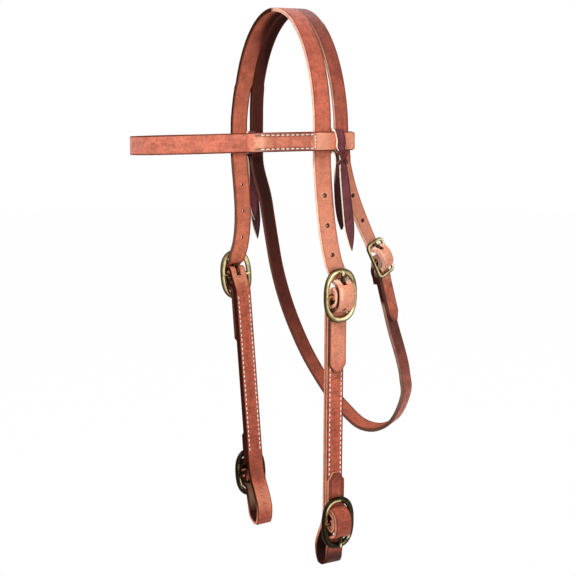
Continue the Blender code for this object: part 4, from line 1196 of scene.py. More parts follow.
def brass(name, seed, deep, mid, low, high):
    """Cast brass, bright along its ridges, as wear and painted highlight, and olive black beside
    them, as patina and painted dark reflection.

    Low and high are how rubbed and lit it is where it starts to be bright and where it is all
    bright.
    """
    g = Graph(name)
    ridge, _ = g.uv("flat")
    place = g.moved_place(seed, seed, seed)
    cloud = g.noise(place, 6.0, 4.0, 0.6)
    speck = g.noise(place, 0.5, 4.0, 0.7)
    wear_and_light = g.add_part(g.math("SUBTRACT", cloud, 0.5), 0.5, ridge)
    bright = g.step(wear_and_light, low, high)
    shade = g.mix(g.step(wear_and_light, low - 0.35, low), deep, mid)
    shade = g.mix(bright, shade, linear(236, 222, 172))
    shade = g.mix(g.step(speck, 0.6, 0.78, 0.0, 0.25), shade, linear(92, 78, 44))
    height = g.add_part(cloud, 2.0, g.times(speck, 0.4))
    rough = g.step(bright, 0.0, 1.0, 0.42, 0.2)
    return g.finish(shade, rough, g.bump(height, 0.06 * MM, 0.7), metallic=1.0)


# Objects


def new_object(name, data):
    made = bpy.data.objects.new(name, data)
    bpy.context.scene.collection.objects.link(made)
    return made


def mesh_object(name, work, *materials):
    """An object with the mesh that was worked on, and with the materials."""
    mesh = bpy.data.meshes.new(name)
    work.to_mesh(mesh)
    work.free()
    for material in materials:
        mesh.materials.append(material)
    return new_object(name, mesh)


def skin_rings(work, rings):
    """Faces between the rings of vertices, and over both ends."""
    for first, second in zip(rings, rings[1:]):
        for k in range(len(first)):
            after = (k + 1) % len(first)
            work.faces.new((first[k], first[after], second[after], second[k]))
    work.faces.new(rings[0][::-1])
    work.faces.new(rings[-1])


# Leather sheets


class LeatherSheet:
    """Leather before it has its thickness: faces that know their place on the strap."""

    def __init__(self):
        self.work = bmesh.new()
        self.known = {}
        names = ("flat", "trim", "state", "painted_lighting")
        self.layers = [self.work.loops.layers.uv.new(name) for name in names]

    def corner(self, point):
        key = tuple(round(value / SAME_PLACE) for value in point)
        if key not in self.known:
            self.known[key] = self.work.verts.new(point)
        return self.known[key]

    def strip(self, rows, marks, open_right=None, open_left=None, cut_end=False, columns=COLUMNS):
        """Faces between (left, right) rows. A side that is joined to more leather has no edge.

        Marks is a function of the length along the strip and the share across it, and says
        what the materials should know of that place.
        """
        lengths = row_lengths(rows)
        told = []
        for i, (left, right) in enumerate(rows):
            width = (right - left).length
            line = []
            for j in range(columns + 1):
                share = j / columns
                from_left = FAR_AWAY if open_left and open_left[i] else share * width
                from_right = FAR_AWAY if open_right and open_right[i] else (1 - share) * width
                edge = min(from_left, from_right)
                if cut_end:
                    edge = min(edge, lengths[-1] - lengths[i])
                values = marks(lengths[i], share)
                # The last pair is the painted light and shade, and how dark the cut edge is painted
                uvs = (
                    ((share - 0.5) * width / MM, lengths[i] / MM),
                    (edge / MM, values.get("hole_run", FAR_AWAY)),
                    (values.get("sewn", 0.0), values.get("creased", 0.0)),
                    (values.get("painted_lighting", 0.0), values.get("edge_dark", 0.0)),
                )
                line.append((self.corner(left.lerp(right, share)), uvs))
            told.append(line)
        for first, second in zip(told, told[1:]):
            for j in range(columns):
                ring = [first[j], first[j + 1], second[j + 1], second[j]]
                face = self.work.faces.new([vert for vert, _ in ring])
                for loop, (_, uvs) in zip(face.loops, ring):
                    for layer, uv in zip(self.layers, uvs):
                        loop[layer].uv = uv

    def finish(self, name, outward, thickness, materials, cutters=()):
        """Thickens the sheet, rounds its edges, cuts it, and returns the finished piece.

        Outward is the way that the grain faces at the first face made. The materials are
        for the grain, the flesh side, the cut edge and the rounded corner.
        """
        work = self.work
        bmesh.ops.recalc_face_normals(work, faces=work.faces)
        work.faces.ensure_lookup_table()
        if work.faces[0].normal.dot(outward) < 0:
            bmesh.ops.reverse_faces(work, faces=work.faces)
        piece = mesh_object(name, work, *materials)
        solidify = piece.modifiers.new("thickness", "SOLIDIFY")
        solidify.thickness = thickness
        solidify.offset = 0
        solidify.material_offset = 1
        solidify.material_offset_rim = 2
        bevel = piece.modifiers.new("soft_edges", "BEVEL")
        bevel.width = min(SOFT_EDGE, thickness / 4)
        bevel.segments = 3
        bevel.limit_method = "ANGLE"
        bevel.angle_limit = SOFT_EDGE_ANGLE
        bevel.material = 3
        for cutter in cutters:
            boolean = piece.modifiers.new("cut", "BOOLEAN")
            boolean.operation = "DIFFERENCE"
            boolean.solver = "EXACT"
            boolean.material_mode = "TRANSFER"
            boolean.object = cutter
        return applied(piece, cutters)


def applied(piece, cutters):
    """The piece with its modifiers applied, shaded smooth, and its cutters gone."""
    bpy.context.view_layer.update()
    graph = bpy.context.evaluated_depsgraph_get()
    old = piece.data
    mesh = bpy.data.meshes.new_from_object(piece.evaluated_get(graph))
    piece.modifiers.clear()
    piece.data = mesh
    bpy.data.meshes.remove(old)
    mesh.name = piece.name
    mesh.shade_smooth()
    mesh.set_sharp_from_angle(angle=SHARP_ANGLE)
    for cutter in cutters:
        bpy.data.objects.remove(cutter)
    return piece


def cutter_object(name, work, wall):
    """What is cut out of a piece, with the material that the cut has."""
    made = mesh_object(name, work, wall)
    made.hide_render = True
    return made


def hole_cutter(places, wall):
    work = bmesh.new()
    for point, way in places:
        bmesh.ops.create_cone(
            work,
            cap_ends=True,
            segments=HOLE_WALL_SIDES,
            radius1=PUNCHED_DIAMETER / 2,
            radius2=PUNCHED_DIAMETER / 2,
            depth=STRAP_THICKNESS + 2 * CUT_OVERRUN,
            matrix=Matrix.Translation(point) @ way.to_track_quat("Z", "Y").to_matrix().to_4x4(),
        )
    return cutter_object("holes", work, wall)


def box_cutter(buckle, low, high, wall):
    """A box between two (run, across, out) places of the buckle."""
    work = bmesh.new()
    bmesh.ops.create_cube(work, size=1.0)
    low, high = Vector(low), Vector(high)
    for vert in work.verts:
        vert.co = Vector((vert.co[i] + 0.5) * (high[i] - low[i]) + low[i] for i in range(3))
    work.transform(buckle.axes())
    return cutter_object("slot", work, wall)


def tongue_slot(buckle, wall):
    """The hole in a billet that the tongue comes up through."""
    half, level = buckle.slot_half, buckle.tongue_level
    crossing = buckle.tongue_crossing()
    low = (-crossing - STRAP_THICKNESS, -half, level - half)
    high = (STRAP_THICKNESS - crossing, half, level + buckle.tongue_radius + TONGUE_LIFT_ROOM)
    return box_cutter(buckle, low, high, wall)


def tongue_room(buckle, wall):
    """The hollow under a billet that the tongue lifts into."""
    half, level = buckle.slot_half, buckle.tongue_level
    start = STRAP_THICKNESS - buckle.tongue_crossing() - CUT_OVERRUN
    end = start + STRAP_THICKNESS + CUT_OVERRUN
    high = (end, half, level + buckle.tongue_radius + TONGUE_UNDER_ROOM)
    return box_cutter(buckle, (start, -half, level - half), high, wall)


def chape_slots(buckle, wall):
    """The slot at the chape's fold, with a lug on each side of the tongue, and its hook's room."""
    half = buckle.slot_half
    leather = buckle.chape_radius + STRAP_THICKNESS / 2
    outside = leather + CUT_OVERRUN
    low = (-outside - 2 * buckle.rise, -half, -outside)
    high = (SLOT_PAST_BAR, half, leather + buckle.rise + CLEARANCE / 2)
    hook = buckle.bar_radius + 2 * CLEARANCE + 2 * buckle.tongue_radius
    wider = half + CLEARANCE / 3
    return [
        box_cutter(buckle, low, high, wall),
        box_cutter(buckle, (0.0, -wider, -outside - CLEARANCE), (hook, wider, hook), wall),
    ]


# Thread


def add_stitch(work, start, end, lift):
    """One stitch from hole to hole, as a closed thread that stands up a little."""
    side = (end - start).normalized().cross(lift)
    rings = []
    for i in range(STITCH_STATIONS + 1):
        share = i / STITCH_STATIONS
        rise = sin(pi * share)
        height = stitch_rise_share * rise - stitch_depth_share
        middle = start.lerp(end, share) + lift * THREAD_RADIUS * height
        radius = THREAD_RADIUS * (stitch_end_share + (1 - stitch_end_share) * rise**0.5)
        ring = []
        for k in range(THREAD_SIDES):
            angle = 2 * pi * k / THREAD_SIDES
            ring.append(work.verts.new(middle + (side * cos(angle) + lift * sin(angle)) * radius))
        rings.append(ring)
    skin_rings(work, rings)


def stitch_row(work, start, end, lift, pitch):
    """A row of stitches between two places, at about the pitch."""
    length = (end - start).length
    count = max(1, round(length / pitch))
    along = (end - start) / length
    step = length / count
    sewn = step * STITCH_LENGTH / STITCH_PITCH
    for i in range(count):
        first = start + along * (step * i)
        add_stitch(work, first, first + along * sewn, lift)


def thread_piece(name, work, material, body):
    """The stitches of a piece, which move with its body."""
    bmesh.ops.recalc_face_normals(work, faces=work.faces)
    piece = mesh_object(name, work, material)
    piece.data.shade_smooth()
    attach(piece, body)


# Pieces, each after the marks that its materials get


def near(value, middle, reach):
    """1 at the middle, falling smoothly to 0 at the reach."""
    share = max(0.0, 1.0 - abs(value - middle) / reach)
    return share * share * (3 - 2 * share)


def spots_at(value, spots):
    """What the spots come to there. Each has its middle, its reach and its strength."""
    return sum(strength * near(value, middle, reach) for middle, reach, strength in spots)


def arch_marks(light_values, rows):
    """Marks of a crown strap's arch, with painted light and shade at its near foot, the poll and
    its far foot.
    """
    total = row_lengths(rows)[-1]
    near_light, poll_light, far_light = light_values

    def marks(length, across_share):
        share = length / total
        far = share > 0.5
        foot, power = (far_light, arch_powers[1]) if far else (near_light, arch_powers[0])
        painted_lighting = poll_light + (foot - poll_light) * abs(2 * share - 1) ** power
        if far:
            # Painted shade near the poll on the far side, stronger towards the rear edge
            painted_lighting -= arch_shade_share * near(share, 0.5, arch_shade_reach) * across_share**1.5
        # The far side's cut edges are painted dark, and the near side's where its painted shade is
        return {"painted_lighting": painted_lighting, "edge_dark": far_edge_dark if far else max(0.0, -painted_lighting)}

    return marks


def billet_marks(name, reach, at_bar, tongue_hole, total):
    """Marks of a billet, from how far along it its bar, its tongue's hole and its tip are."""
    foot, end, turned, tip, streak, edge_dark, bar_dark, creased = billet_lighting[name]
    free = at_bar + FREE_END_START
    # Painted light at the bar, painted shade at the tip, and a painted highlight beside the rim
    spots = (
        (at_bar, BAR_SPOT_REACH, turned),
        (total, TIP_SPOT_REACH, tip_painted_shade),
        (at_bar - rim_highlight_share * reach, RIM_HIGHLIGHT_REACH, streak),
    )

    def marks(length, across_share):
        past = min(1.0, max(0.0, (length - free) / FREE_END_BLEND))
        painted_lighting = foot + (end - foot) * min(1.0, length / at_bar) ** 0.5 + tip * past
        painted_lighting += spots_at(length, spots)
        # A painted highlight in a band just above the bar
        in_band = near(across_share, *highlight_band_shares)
        painted_lighting += streak * in_band * near(length, at_bar - HIGHLIGHT_ABOVE_BAR, HIGHLIGHT_REACH)
        bent = max(
            near(length, at_bar + CREASE_BELOW_BAR, CREASE_BELOW_REACH),
            near(length, at_bar - CREASE_ABOVE_BAR, CREASE_ABOVE_REACH),
        )
        # Its cut edge is painted dark at the bar and on its free end
        at_bar_dark = bar_dark * near(length, at_bar, BAR_SPOT_REACH)
        skipped = NEXT_HOLE_FORWARD if length > at_bar else 0.0
        return {
            "hole_run": (length - tongue_hole - skipped) / MM,
            "creased": bent * creased,
            "painted_lighting": painted_lighting,
            "edge_dark": max(edge_dark, at_bar_dark) if length < free else free_edge_dark,
        }

    return marks


def latch_marks(total):
    """Marks of the throatlatch, from its length: painted light and shade, and painted dark edges.
    """
    start, turn, end = latch_lighting
    start_dark, end_dark = latch_edge_darks

    def marks(length, _):
        share = length / total
        from_end = total - length
        turned = min(1.0, max(0.0, (share - latch_turned_share) / (1 - latch_turned_share)))
        behind = min(1.0, spots_at(from_end, latch_hidden_spots))
        painted_lighting = start + (turn - start) * min(1.0, share / latch_turned_share) ** latch_power
        painted_lighting += (end - turn) * min(1.0, latch_turn_speed * turned)
        painted_lighting += spots_at(from_end, (latch_fold_spot,)) + latch_hidden_shade * behind
        edge_dark = start_dark + (end_dark - start_dark) * turned**0.5
        edge_dark = max(edge_dark, latch_hidden_dark * behind)
        return {"painted_lighting": painted_lighting, "creased": latch_creased, "edge_dark": edge_dark}

    return marks


def dress_crown(buckles, looks):
    arch = [(x, z, NEAR_SPLIT_DEPTH) for x, z in reversed(arch_places(1))]
    arch += [(x, z, FAR_SPLIT_DEPTH) for x, z in arch_places(-1)]
    rows = [arch_row(*place) for place in arch]
    joined = [split_gap(-z, depth) <= 0.0 for _, z, depth in arch]
    front_rows = [(row[0], row[1]) for row in rows]
    rear_rows = []
    for row in rows:
        flared = near(row[2].z, -PARALLEL_DEPTH, FLARE_REACH) if row[2].x > 0 else 0.0
        flare = Vector((0, REAR_FLARE * flared, 0))
        rear_rows.append((row[2] + flare, row[3] + flare))
    sheet = LeatherSheet()
    sheet.strip(front_rows, arch_marks(front_arch_lighting, front_rows), open_right=joined)
    sheet.strip(rear_rows, arch_marks(rear_arch_lighting, rear_rows), open_left=joined)

    frontward = unit((0, front_strap_slant_share, -1))
    rearward = unit((0, rear_strap_slant_share / 2, -1))
    near_rear = strip_start(1, 2, 3) + Vector((0, REAR_FLARE, 0))
    front = (BILLET_TIP_LENGTH, FRONT_STRAP_WIDTH, BILLET_LEAN, HOLES_SET_BACK)
    rear = (THROAT_TIP_LENGTH, REAR_STRAP_WIDTH, 0.0, REAR_HOLES_SET_BACK)
    billets = (
        ("left_upper", front_rows[0], strip_start(1, 0, 1), frontward, None, front),
        ("right_upper", front_rows[-1], strip_start(-1, 0, 1), frontward, None, front),
        ("throat", rear_rows[0], near_rear, rearward, throat_limb_share, rear),
    )
    holes = []
    for name, first, start, way, end_way, sizes in billets:
        buckle = buckles[name]
        made, punched, *places = billet_strip(start, way, buckle, end_way or buckle.run, *sizes)
        sheet.strip([first] + made[1:], billet_marks(name, buckle.reach, *places), cut_end=True)
        holes += punched
    latch = [rear_rows[-1]] + throatlatch_strip(strip_start(-1, 2, 3), buckles["throat"])[1:]
    sheet.strip(latch, latch_marks(row_lengths(latch)[-1]))

    wall = looks["wall"]
    cutters = [hole_cutter(holes, wall)]
    uppers = ("left_upper", "right_upper")
    cutters += [tongue_slot(buckles[name], wall) for name in (*uppers, "throat")]
    cutters += [tongue_room(buckles[name], wall) for name in uppers]
    cutters += chape_slots(buckles["throat"], wall)
    piece = sheet.finish(
        "crown_leather", Vector((1, 0, 0)), STRAP_THICKNESS, looks["crown"], cutters
    )
    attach(piece, "crown")
    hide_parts("crown_strap")


def chape_core(name, buckle, body, material):
    """Fills a chape's turn down to the bar, on each side of the tongue."""
    first, last = core_angles
    inner = buckle.bar_radius + CLEARANCE
    inside, outside = buckle.slot_half, CHEEK_WIDTH / 2 - CLEARANCE
    work = bmesh.new()
    for side in (-1, 1):
        rings = []
        for i in range(CORE_STEPS + 1):
            angle = first + (last - first) * i / CORE_STEPS
            outer = inner + buckle.chape_rise(angle) - CLEARANCE / 2
            corners = ((inner, inside), (outer, inside), (outer, outside), (inner, outside))
            ring = []
            for radius, across in corners:
                place = buckle.place(-radius * sin(angle), radius * cos(angle), side * across)
                ring.append(work.verts.new(place))
            rings.append(ring)
        skin_rings(work, rings)
    bmesh.ops.recalc_face_normals(work, faces=work.faces)
    piece = mesh_object(name + "_chape_core", work, material)
    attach(piece, body)


def cheek_marks(side, route, runs, length, drop, seam):
    """Marks of a cheek strap, whose runs are how far below the upper bar its places are.

    The lower bar is at the length, the bit loop hangs below it by the drop, and the seam is
    from one run to another.
    """
    lengths = lengths_along(route)
    loop = length + drop
    in_middle, at_bar, at_loop = cheek_crease_shares
    # Painted light at the upper bar, painted shade at the lower bar, the near bit loop painted dark
    # inside and the far one with a painted highlight, and cut edges painted darker or paler
    if side == "left":
        plain_light, plain_dark = 0.0, 0.0
        light_values = ((0.0, 30 * MM, 0.45), (length, 34 * MM, -0.35), (loop, 26 * MM, -1.1))
        darks = ((loop, 34 * MM, 1.0), (0.0, 16 * MM, -1.0))
    else:
        plain_light, plain_dark = far_cheek_shade, far_edge_dark
        light_values = ((0.0, 30 * MM, 0.45), (0.0, 14 * MM, 0.35), (length, 34 * MM, -0.2))
        light_values += ((length + 0.45 * drop, 24 * MM, 0.7),)
        darks = ((loop, 26 * MM, -1.0),)

    def marks(along, across_share):
        run = runs[last_within(lengths, along + SAME_PLACE)]
        at_tip = near(along, lengths[-1], CHEEK_TIP_REACH)
        return {
            "edge_dark": plain_dark + spots_at(run, darks),
            "sewn": float(seam[0] - GROOVE_PAST_SEAM < run < seam[1] + GROOVE_PAST_SEAM),
            "creased": max(
                in_middle * near(across_share, 0.5, 0.36),
                at_bar * near(run, length, 14 * MM),
                at_loop * near(run, loop, 24 * MM),
            ),
            "painted_lighting": plain_light + spots_at(run, light_values) + cheek_tip_shade * at_tip,
        }

    return marks


def dress_cheek(side, buckles, looks):
    upper, lower = buckles[side + "_upper"], buckles[side + "_lower"]
    drop = NEAR_BIT_LOOP_DROP if side == "left" else FAR_BIT_LOOP_DROP
    route = cheek_route(upper, lower, drop)
    rows = strap_rows(route, [upper.across] * len(route), tip_half_widths(route, CHEEK_WIDTH))
    runs = [(point - upper.bar).dot(upper.run) for point in route]
    length = (lower.bar - upper.bar).length
    seam = (upper.reach + SEAM_START, length - lower.reach - SEAM_END)
    sheet = LeatherSheet()
    sheet.strip(rows, cheek_marks(side, route, runs, length, drop, seam), cut_end=True)
    cutters = chape_slots(upper, looks["wall"]) + chape_slots(lower, looks["wall"])
    cutters.append(tongue_slot(lower, looks["wall"]))
    piece = sheet.finish(
        side + "_cheek_leather", -upper.out, STRAP_THICKNESS, looks["cheek"], cutters
    )
    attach(piece, side + "_cheek")
    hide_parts(side + "_cheek_strap")

    work = bmesh.new()
    half = CHEEK_WIDTH / 2 - STITCH_INSET
    faces = (
        (upper.toe - LAYER + STRAP_THICKNESS / 2, upper.out),
        (upper.toe - 2 * LAYER - STRAP_THICKNESS / 2, -upper.out),
    )
    for depth, lift in faces:
        for across in (-half, half):
            start, end = (upper.place(run, depth, across) for run in seam)
            stitch_row(work, start, end, lift, STITCH_PITCH)
    thread_piece(side + "_cheek_thread", work, looks["thread"], side + "_cheek")
    for buckle, end in ((upper, "_upper"), (lower, "_lower")):
        chape_core(side + end, buckle, side + "_cheek", looks["cheek"][2])


def browband_marks(route, seam_back, seam_front):
    """Marks of the browband: painted highlights at its bends and at both ends of its seams."""
    lengths = lengths_along(route)
    highlight_spots = (
        (seam_back + 8 * MM, 10 * MM, 1.2),
        (LOOP_END, 16 * MM, 0.6),
        (seam_front + 0.5 * MM, 10 * MM, 1.25),
    )

    def marks(along, across_share):
        y = route[last_within(lengths, along + SAME_PLACE)].y
        painted_lighting = max(strength * near(y, middle, reach) for middle, reach, strength in highlight_spots)
        if y < seam_front:
            painted_lighting += browband_front_darkening * min(1.0, (seam_front - y) / BROWBAND_BLEND)
        else:
            painted_lighting = max(painted_lighting, browband_seam_lift)
        # Painted glints along its top and bottom rims near the ends of its seams
        at_rim = sum(near(across_share, rim, browband_rim_share) for rim in (0.0, 1.0))
        seam_ends = max(near(y, seam_front + 2 * MM, 14 * MM), near(y, seam_back, 7 * MM))
        painted_lighting += browband_rim_glint * at_rim * seam_ends
        return {"sewn": float(seam_front - GROOVE_PAST_SEAM < y < seam_back), "painted_lighting": painted_lighting}

    return marks


def dress_browband(looks):
    half = browband_half()
    plan = half[:-1] + [(-x, y) for x, y in reversed(half)]
    route = [Vector((x, y, browband_height(x, y))) for x, y in plan]
    rows = []
    for point in route:
        rounded = LOOP_CORNER * near(point.y, LOOP_END + LAYER, 4 * MM)
        up = Vector((0, 0, BROWBAND_WIDTH / 2 - rounded))
        rows.append((point - up, point + up))
    outer = CROWN_HALF_SPAN + LAYER
    strap_front = SPLIT_OFFSET - STRAP_GAP / 2 - FRONT_STRAP_WIDTH
    seam_back = strap_front - CLEARANCE - LOOP_CLOSING + SEAM_FORWARD
    seam_front = seam_back - STITCHED_LENGTH + SEAM_FORWARD
    sheet = LeatherSheet()
    sheet.strip(rows, browband_marks(route, seam_back, seam_front))
    piece = sheet.finish(
        "browband_leather", Vector((-1, 0, 0)), STRAP_THICKNESS, looks["browband"]
    )
    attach(piece, "browband")
    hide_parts("browband")

    work = bmesh.new()
    rise = BROWBAND_WIDTH / 2 - STITCH_INSET
    for side in (1, -1):
        faces = ((outer + STRAP_THICKNESS / 2, 1), (outer - LAYER - STRAP_THICKNESS / 2, -1))
        for x, way in faces:
            lift = Vector((side * way, 0, 0))

            def seam(y, z, x=side * x):
                return Vector((x, y, browband_height(x, y) + z))

            back = seam_back if way > 0 else seam_back - SEAM_FORWARD
            for z in (-rise, rise):
                stitch_row(work, seam(back, z), seam(seam_front, z), lift, STITCH_PITCH)
            start, end = (seam(back + CROSS_STITCH_BACK, z) for z in (-rise, rise))
            stitch_row(work, start, end, lift, CROSS_STITCH_PITCH)
    thread_piece("browband_thread", work, looks["thread"], "browband")


def plain_marks(*_):
    """Marks of leather that is the same all over."""
    return {}


def strip_through(sheet, points, marks=plain_marks):
    """A narrow strip whose (place, half width) pairs follow a smooth curve.

    Its marks are a function of the share of its length, and of the share across it.
    """
    rows = []
    for value in through([Vector((*point, half)) for point, half in points], NARROW_STEP):
        point, across = Vector(value[:3]), Vector((0, value[3], 0))
        rows.append((point - across, point + across))
    total = row_lengths(rows)[-1]
    sheet.strip(
        rows,
        lambda length, across_share: marks(length / total, across_share),
        cut_end=True,
        columns=NARROW_COLUMNS,
    )


def short_tail_marks(share, _):
    """The near tie's short tail, at its end, is in the others' shade."""
    start, blend = short_tail_shade_shares
    in_shade = min(1.0, max(0.0, (share - start) / blend))
    return {"painted_lighting": -0.9 * in_shade, "edge_dark": in_shade}


def dress_tie(name, side, looks):
    sheet = LeatherSheet()
    strip_through(sheet, tie_places(side), short_tail_marks if side > 0 else plain_marks)
    piece = sheet.finish(name + "_latigo", Vector((side, 0, 0)), TIE_THICKNESS, looks["tie"])
    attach(piece, "browband")
    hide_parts(name)

    face_y = SPLIT_OFFSET + TIE_POSITION
    outside = CROWN_HALF_SPAN + LAYER + STRAP_THICKNESS / 2 + 2 * TIE_THICKNESS + 2 * CLEARANCE
    low = browband_height(side * CROWN_HALF_SPAN, LOOP_END) - BROWBAND_WIDTH / 2
    knot = LeatherSheet()
    for strand in knot_strands:
        places = []
        for out, across, down in strand:
            x = side * (outside + out * KNOT_SIZE)
            place = Vector((x, face_y + across * KNOT_SIZE, low - down * KNOT_SIZE))
            places.append((place, KNOT_STRAND_WIDTH / 2))
        strip_through(knot, places)
    piece = knot.finish(name + "_knot", Vector((side, 0, 0)), KNOT_THICKNESS, looks["knot"])
    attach(piece, "browband")


def ring_mesh(points, outs, radius, closed=False, shares=None, breadth=1.0, inward=1, wear_and_highlights=None):
    """A tube along points, broader across than it is thick.

    Its UV is how bright each side of it is, 0 to 1, from wear and painted highlight: most on
    its front and back ridges, a little inside. The shares of the radius, and how much more or
    less it is bright, are given at each point.
    """
    on_ridge, inside = ridge_highlight_and_wear_shares
    plain = [1.0] * len(points)
    work = bmesh.new()
    layer = work.loops.layers.uv.new("flat")
    rings = []
    ways = directions(points, closed)
    for point, way, out, share, wear_and_light in zip(points, ways, outs, shares or plain, wear_and_highlights or plain):
        side = way.cross(out).normalized() * inward
        ring = []
        for k in range(RIM_SIDES):
            angle = 2 * pi * k / RIM_SIDES
            place = point + (out * cos(angle) + side * sin(angle) * breadth) * (radius * share)
            rubbed_and_lit = (on_ridge * abs(cos(angle)) + inside * sin(angle)) * wear_and_light
            ring.append((work.verts.new(place), rubbed_and_lit))
        rings.append(ring)
    pairs = list(zip(rings, rings[1:]))
    if closed:
        pairs.append((rings[-1], rings[0]))
    for first, second in pairs:
        for k in range(RIM_SIDES):
            after = (k + 1) % RIM_SIDES
            corners = [first[k], first[after], second[after], second[k]]
            face = work.faces.new([vert for vert, _ in corners])
            for loop, (_, rubbed_and_lit) in zip(face.loops, corners):
                loop[layer].uv = (rubbed_and_lit, 0.0)
    if not closed:
        for ring in (rings[0], rings[-1]):
            face = work.faces.new([vert for vert, _ in ring])
            for loop in face.loops:
                loop[layer].uv = (tube_end_highlight_and_wear, 0.0)
    bmesh.ops.recalc_face_normals(work, faces=work.faces)
    return work


def dress_frame(name, buckle, body, material):
    outline = square_outline(buckle) if buckle.corner else oval_outline(buckle)
    points = [buckle.place(run, 0, across) for run, across in outline]
    first_side = directions(points, True)[0].cross(buckle.out)
    # Painted highlights and wear, more at some places round the rim
    twice, once, twice_from, once_from = rim_highlights_and_wear[name]
    wear_and_highlights = []
    for i in range(len(points)):
        angle = 2 * pi * i / len(points)
        more = twice * cos(2 * (angle - radians(twice_from)))
        more += once * cos(angle - radians(once_from))
        wear_and_highlights.append(1 + more)
    rim = ring_mesh(
        points,
        [buckle.out] * len(points),
        buckle.rim_radius,
        closed=True,
        breadth=1.0 if buckle.corner else rim_breadth_share,
        inward=1 if (buckle.bar - points[0]).dot(first_side) > 0 else -1,
        wear_and_highlights=wear_and_highlights,
    )
    piece = mesh_object(name + "_buckle_casting", rim, material)
    reach = buckle.width / 2 - buckle.rim_radius
    shares = [2 * i / BAR_STEPS - 1 for i in range(BAR_STEPS + 1)]
    bar_points = [buckle.place(0, 0, reach * share) for share in shares]
    flares = [1 + bar_flare_share * abs(share) ** 6 for share in shares]
    bar = ring_mesh(bar_points, [buckle.out] * len(shares), buckle.bar_radius, shares=flares)
    bar_piece = mesh_object(name + "_bar", bar, material)
    union = piece.modifiers.new("bar", "BOOLEAN")
    union.operation = "UNION"
    union.solver = "EXACT"
    union.object = bar_piece
    applied(piece, [bar_piece])
    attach(piece, body)
    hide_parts(name + "_buckle_frame")


def dress_tongue(name, buckle, material):
    wire = buckle.tongue_radius
    eye = buckle.bar_radius + CLEARANCE + wire
    flat = []
    for i in range(HOOK_STEPS + 1):
        angle = TONGUE_HOOK_START + (2 * pi - TONGUE_HOOK_START) * i / HOOK_STEPS
        flat.append((-eye * sin(angle), eye * cos(angle)))
    shares = [1.0] * len(flat)
    rim_place = buckle.height / 2 - buckle.rim_radius
    rim_level = buckle.rim_radius + CLEARANCE + wire * tongue_swell_share
    for i in range(1, TURN_STEPS):
        share = i / TURN_STEPS
        flat.append((-rim_place * share, eye + (rim_level - eye) * share))
        shares.append(1 + (tongue_swell_share - 1) * min(1.0, tongue_swell_speed * share))
    shaft_points = len(flat) - 1
    for i in range(TIP_STEPS + 1):
        share = i / TIP_STEPS
        flat.append((-(rim_place + TONGUE_OVERHANG * share), rim_level))
        shares.append(tongue_swell_share - (tongue_swell_share - tongue_tip_share) * share**2)
    shares[-1] *= tongue_end_share
    points = [buckle.place(along, out) for along, out in flat]
    outs = [unit(buckle.across.cross(way)) * -1 for way in directions(points)]
    # Its tip is brighter than its shaft: wear and painted highlight
    shaft, tip = tongue_highlight_and_wear_shares
    wear_and_highlights = [shaft] * shaft_points + [tip] * (len(points) - shaft_points)
    work = ring_mesh(points, outs, wire, shares=shares, wear_and_highlights=wear_and_highlights)
    piece = mesh_object(name + "_tongue_wire", work, material)
    piece.data.shade_smooth()
    piece.data.set_sharp_from_angle(angle=TONGUE_SHARP_ANGLE)
    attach(piece, name + "_tongue")
    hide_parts(name + "_tongue")


# Stage


def add_camera():
    """The photograph's view: from the near side and front, looking slightly down."""
    back = Vector((sin(VIEW_AZIMUTH), -cos(VIEW_AZIMUTH), 0))
    right = Vector((cos(VIEW_AZIMUTH), sin(VIEW_AZIMUTH), 0))
    data = bpy.data.cameras.new("view")
    data.sensor_width = SENSOR_WIDTH
    data.lens = VIEW_LENS
    data.clip_start = CLIP_START
    camera = new_object("view", data)
    camera.location = back * VIEW_DISTANCE + right * VIEW_ASIDE + Vector((0, 0, VIEW_HEIGHT))
    look = -back * cos(VIEW_PITCH) - Vector((0, 0, sin(VIEW_PITCH)))
    camera.rotation_euler = look.to_track_quat("-Z", "Y").to_euler()
    bpy.context.scene.camera = camera


def add_lamp(name, azimuth, elevation, distance, size, power):
    """A round lamp that faces the headstall's middle."""
    data = bpy.data.lights.new(name, "AREA")
    data.shape = "DISK"
    data.size = size
    data.energy = power
    lamp = new_object(name, data)
    a, e = radians(azimuth), radians(elevation)
    back = Vector((sin(a) * cos(e), -cos(a) * cos(e), sin(e)))
    lamp.location = MIDDLE + back * distance
    lamp.rotation_euler = (-back).to_track_quat("-Z", "Y").to_euler()


def seen_directly(nodes, links):
    """1 on rays that show the background itself: camera, glossy and transmission rays."""
    path = nodes.new("ShaderNodeLightPath")
    seen = path.outputs["Is Camera Ray"]
    for kind in ("Is Glossy Ray", "Is Transmission Ray"):
        either = nodes.new("ShaderNodeMath")
        either.operation = "MAXIMUM"
        links.new(seen, either.inputs[0])
        links.new(path.outputs[kind], either.inputs[1])
        seen = either.outputs[0]
    return seen


def add_world():
    world = bpy.data.worlds.new("studio")
    bpy.context.scene.world = world
    world.use_nodes = True
    nodes, links = world.node_tree.nodes, world.node_tree.links
    lit = nodes["Background"]
    lit.inputs["Color"].default_value = (1.0, 0.99, 0.98, 1.0)
    lit.inputs["Strength"].default_value = WORLD_STRENGTH
    shown = nodes.new("ShaderNodeBackground")
    shown.inputs["Color"].default_value = (1.0, 1.0, 1.0, 1.0)
    mix = nodes.new("ShaderNodeMixShader")
    links.new(seen_directly(nodes, links), mix.inputs[0])
    links.new(lit.outputs[0], mix.inputs[1])
    links.new(shown.outputs[0], mix.inputs[2])
    links.new(mix.outputs[0], nodes["World Output"].inputs["Surface"])


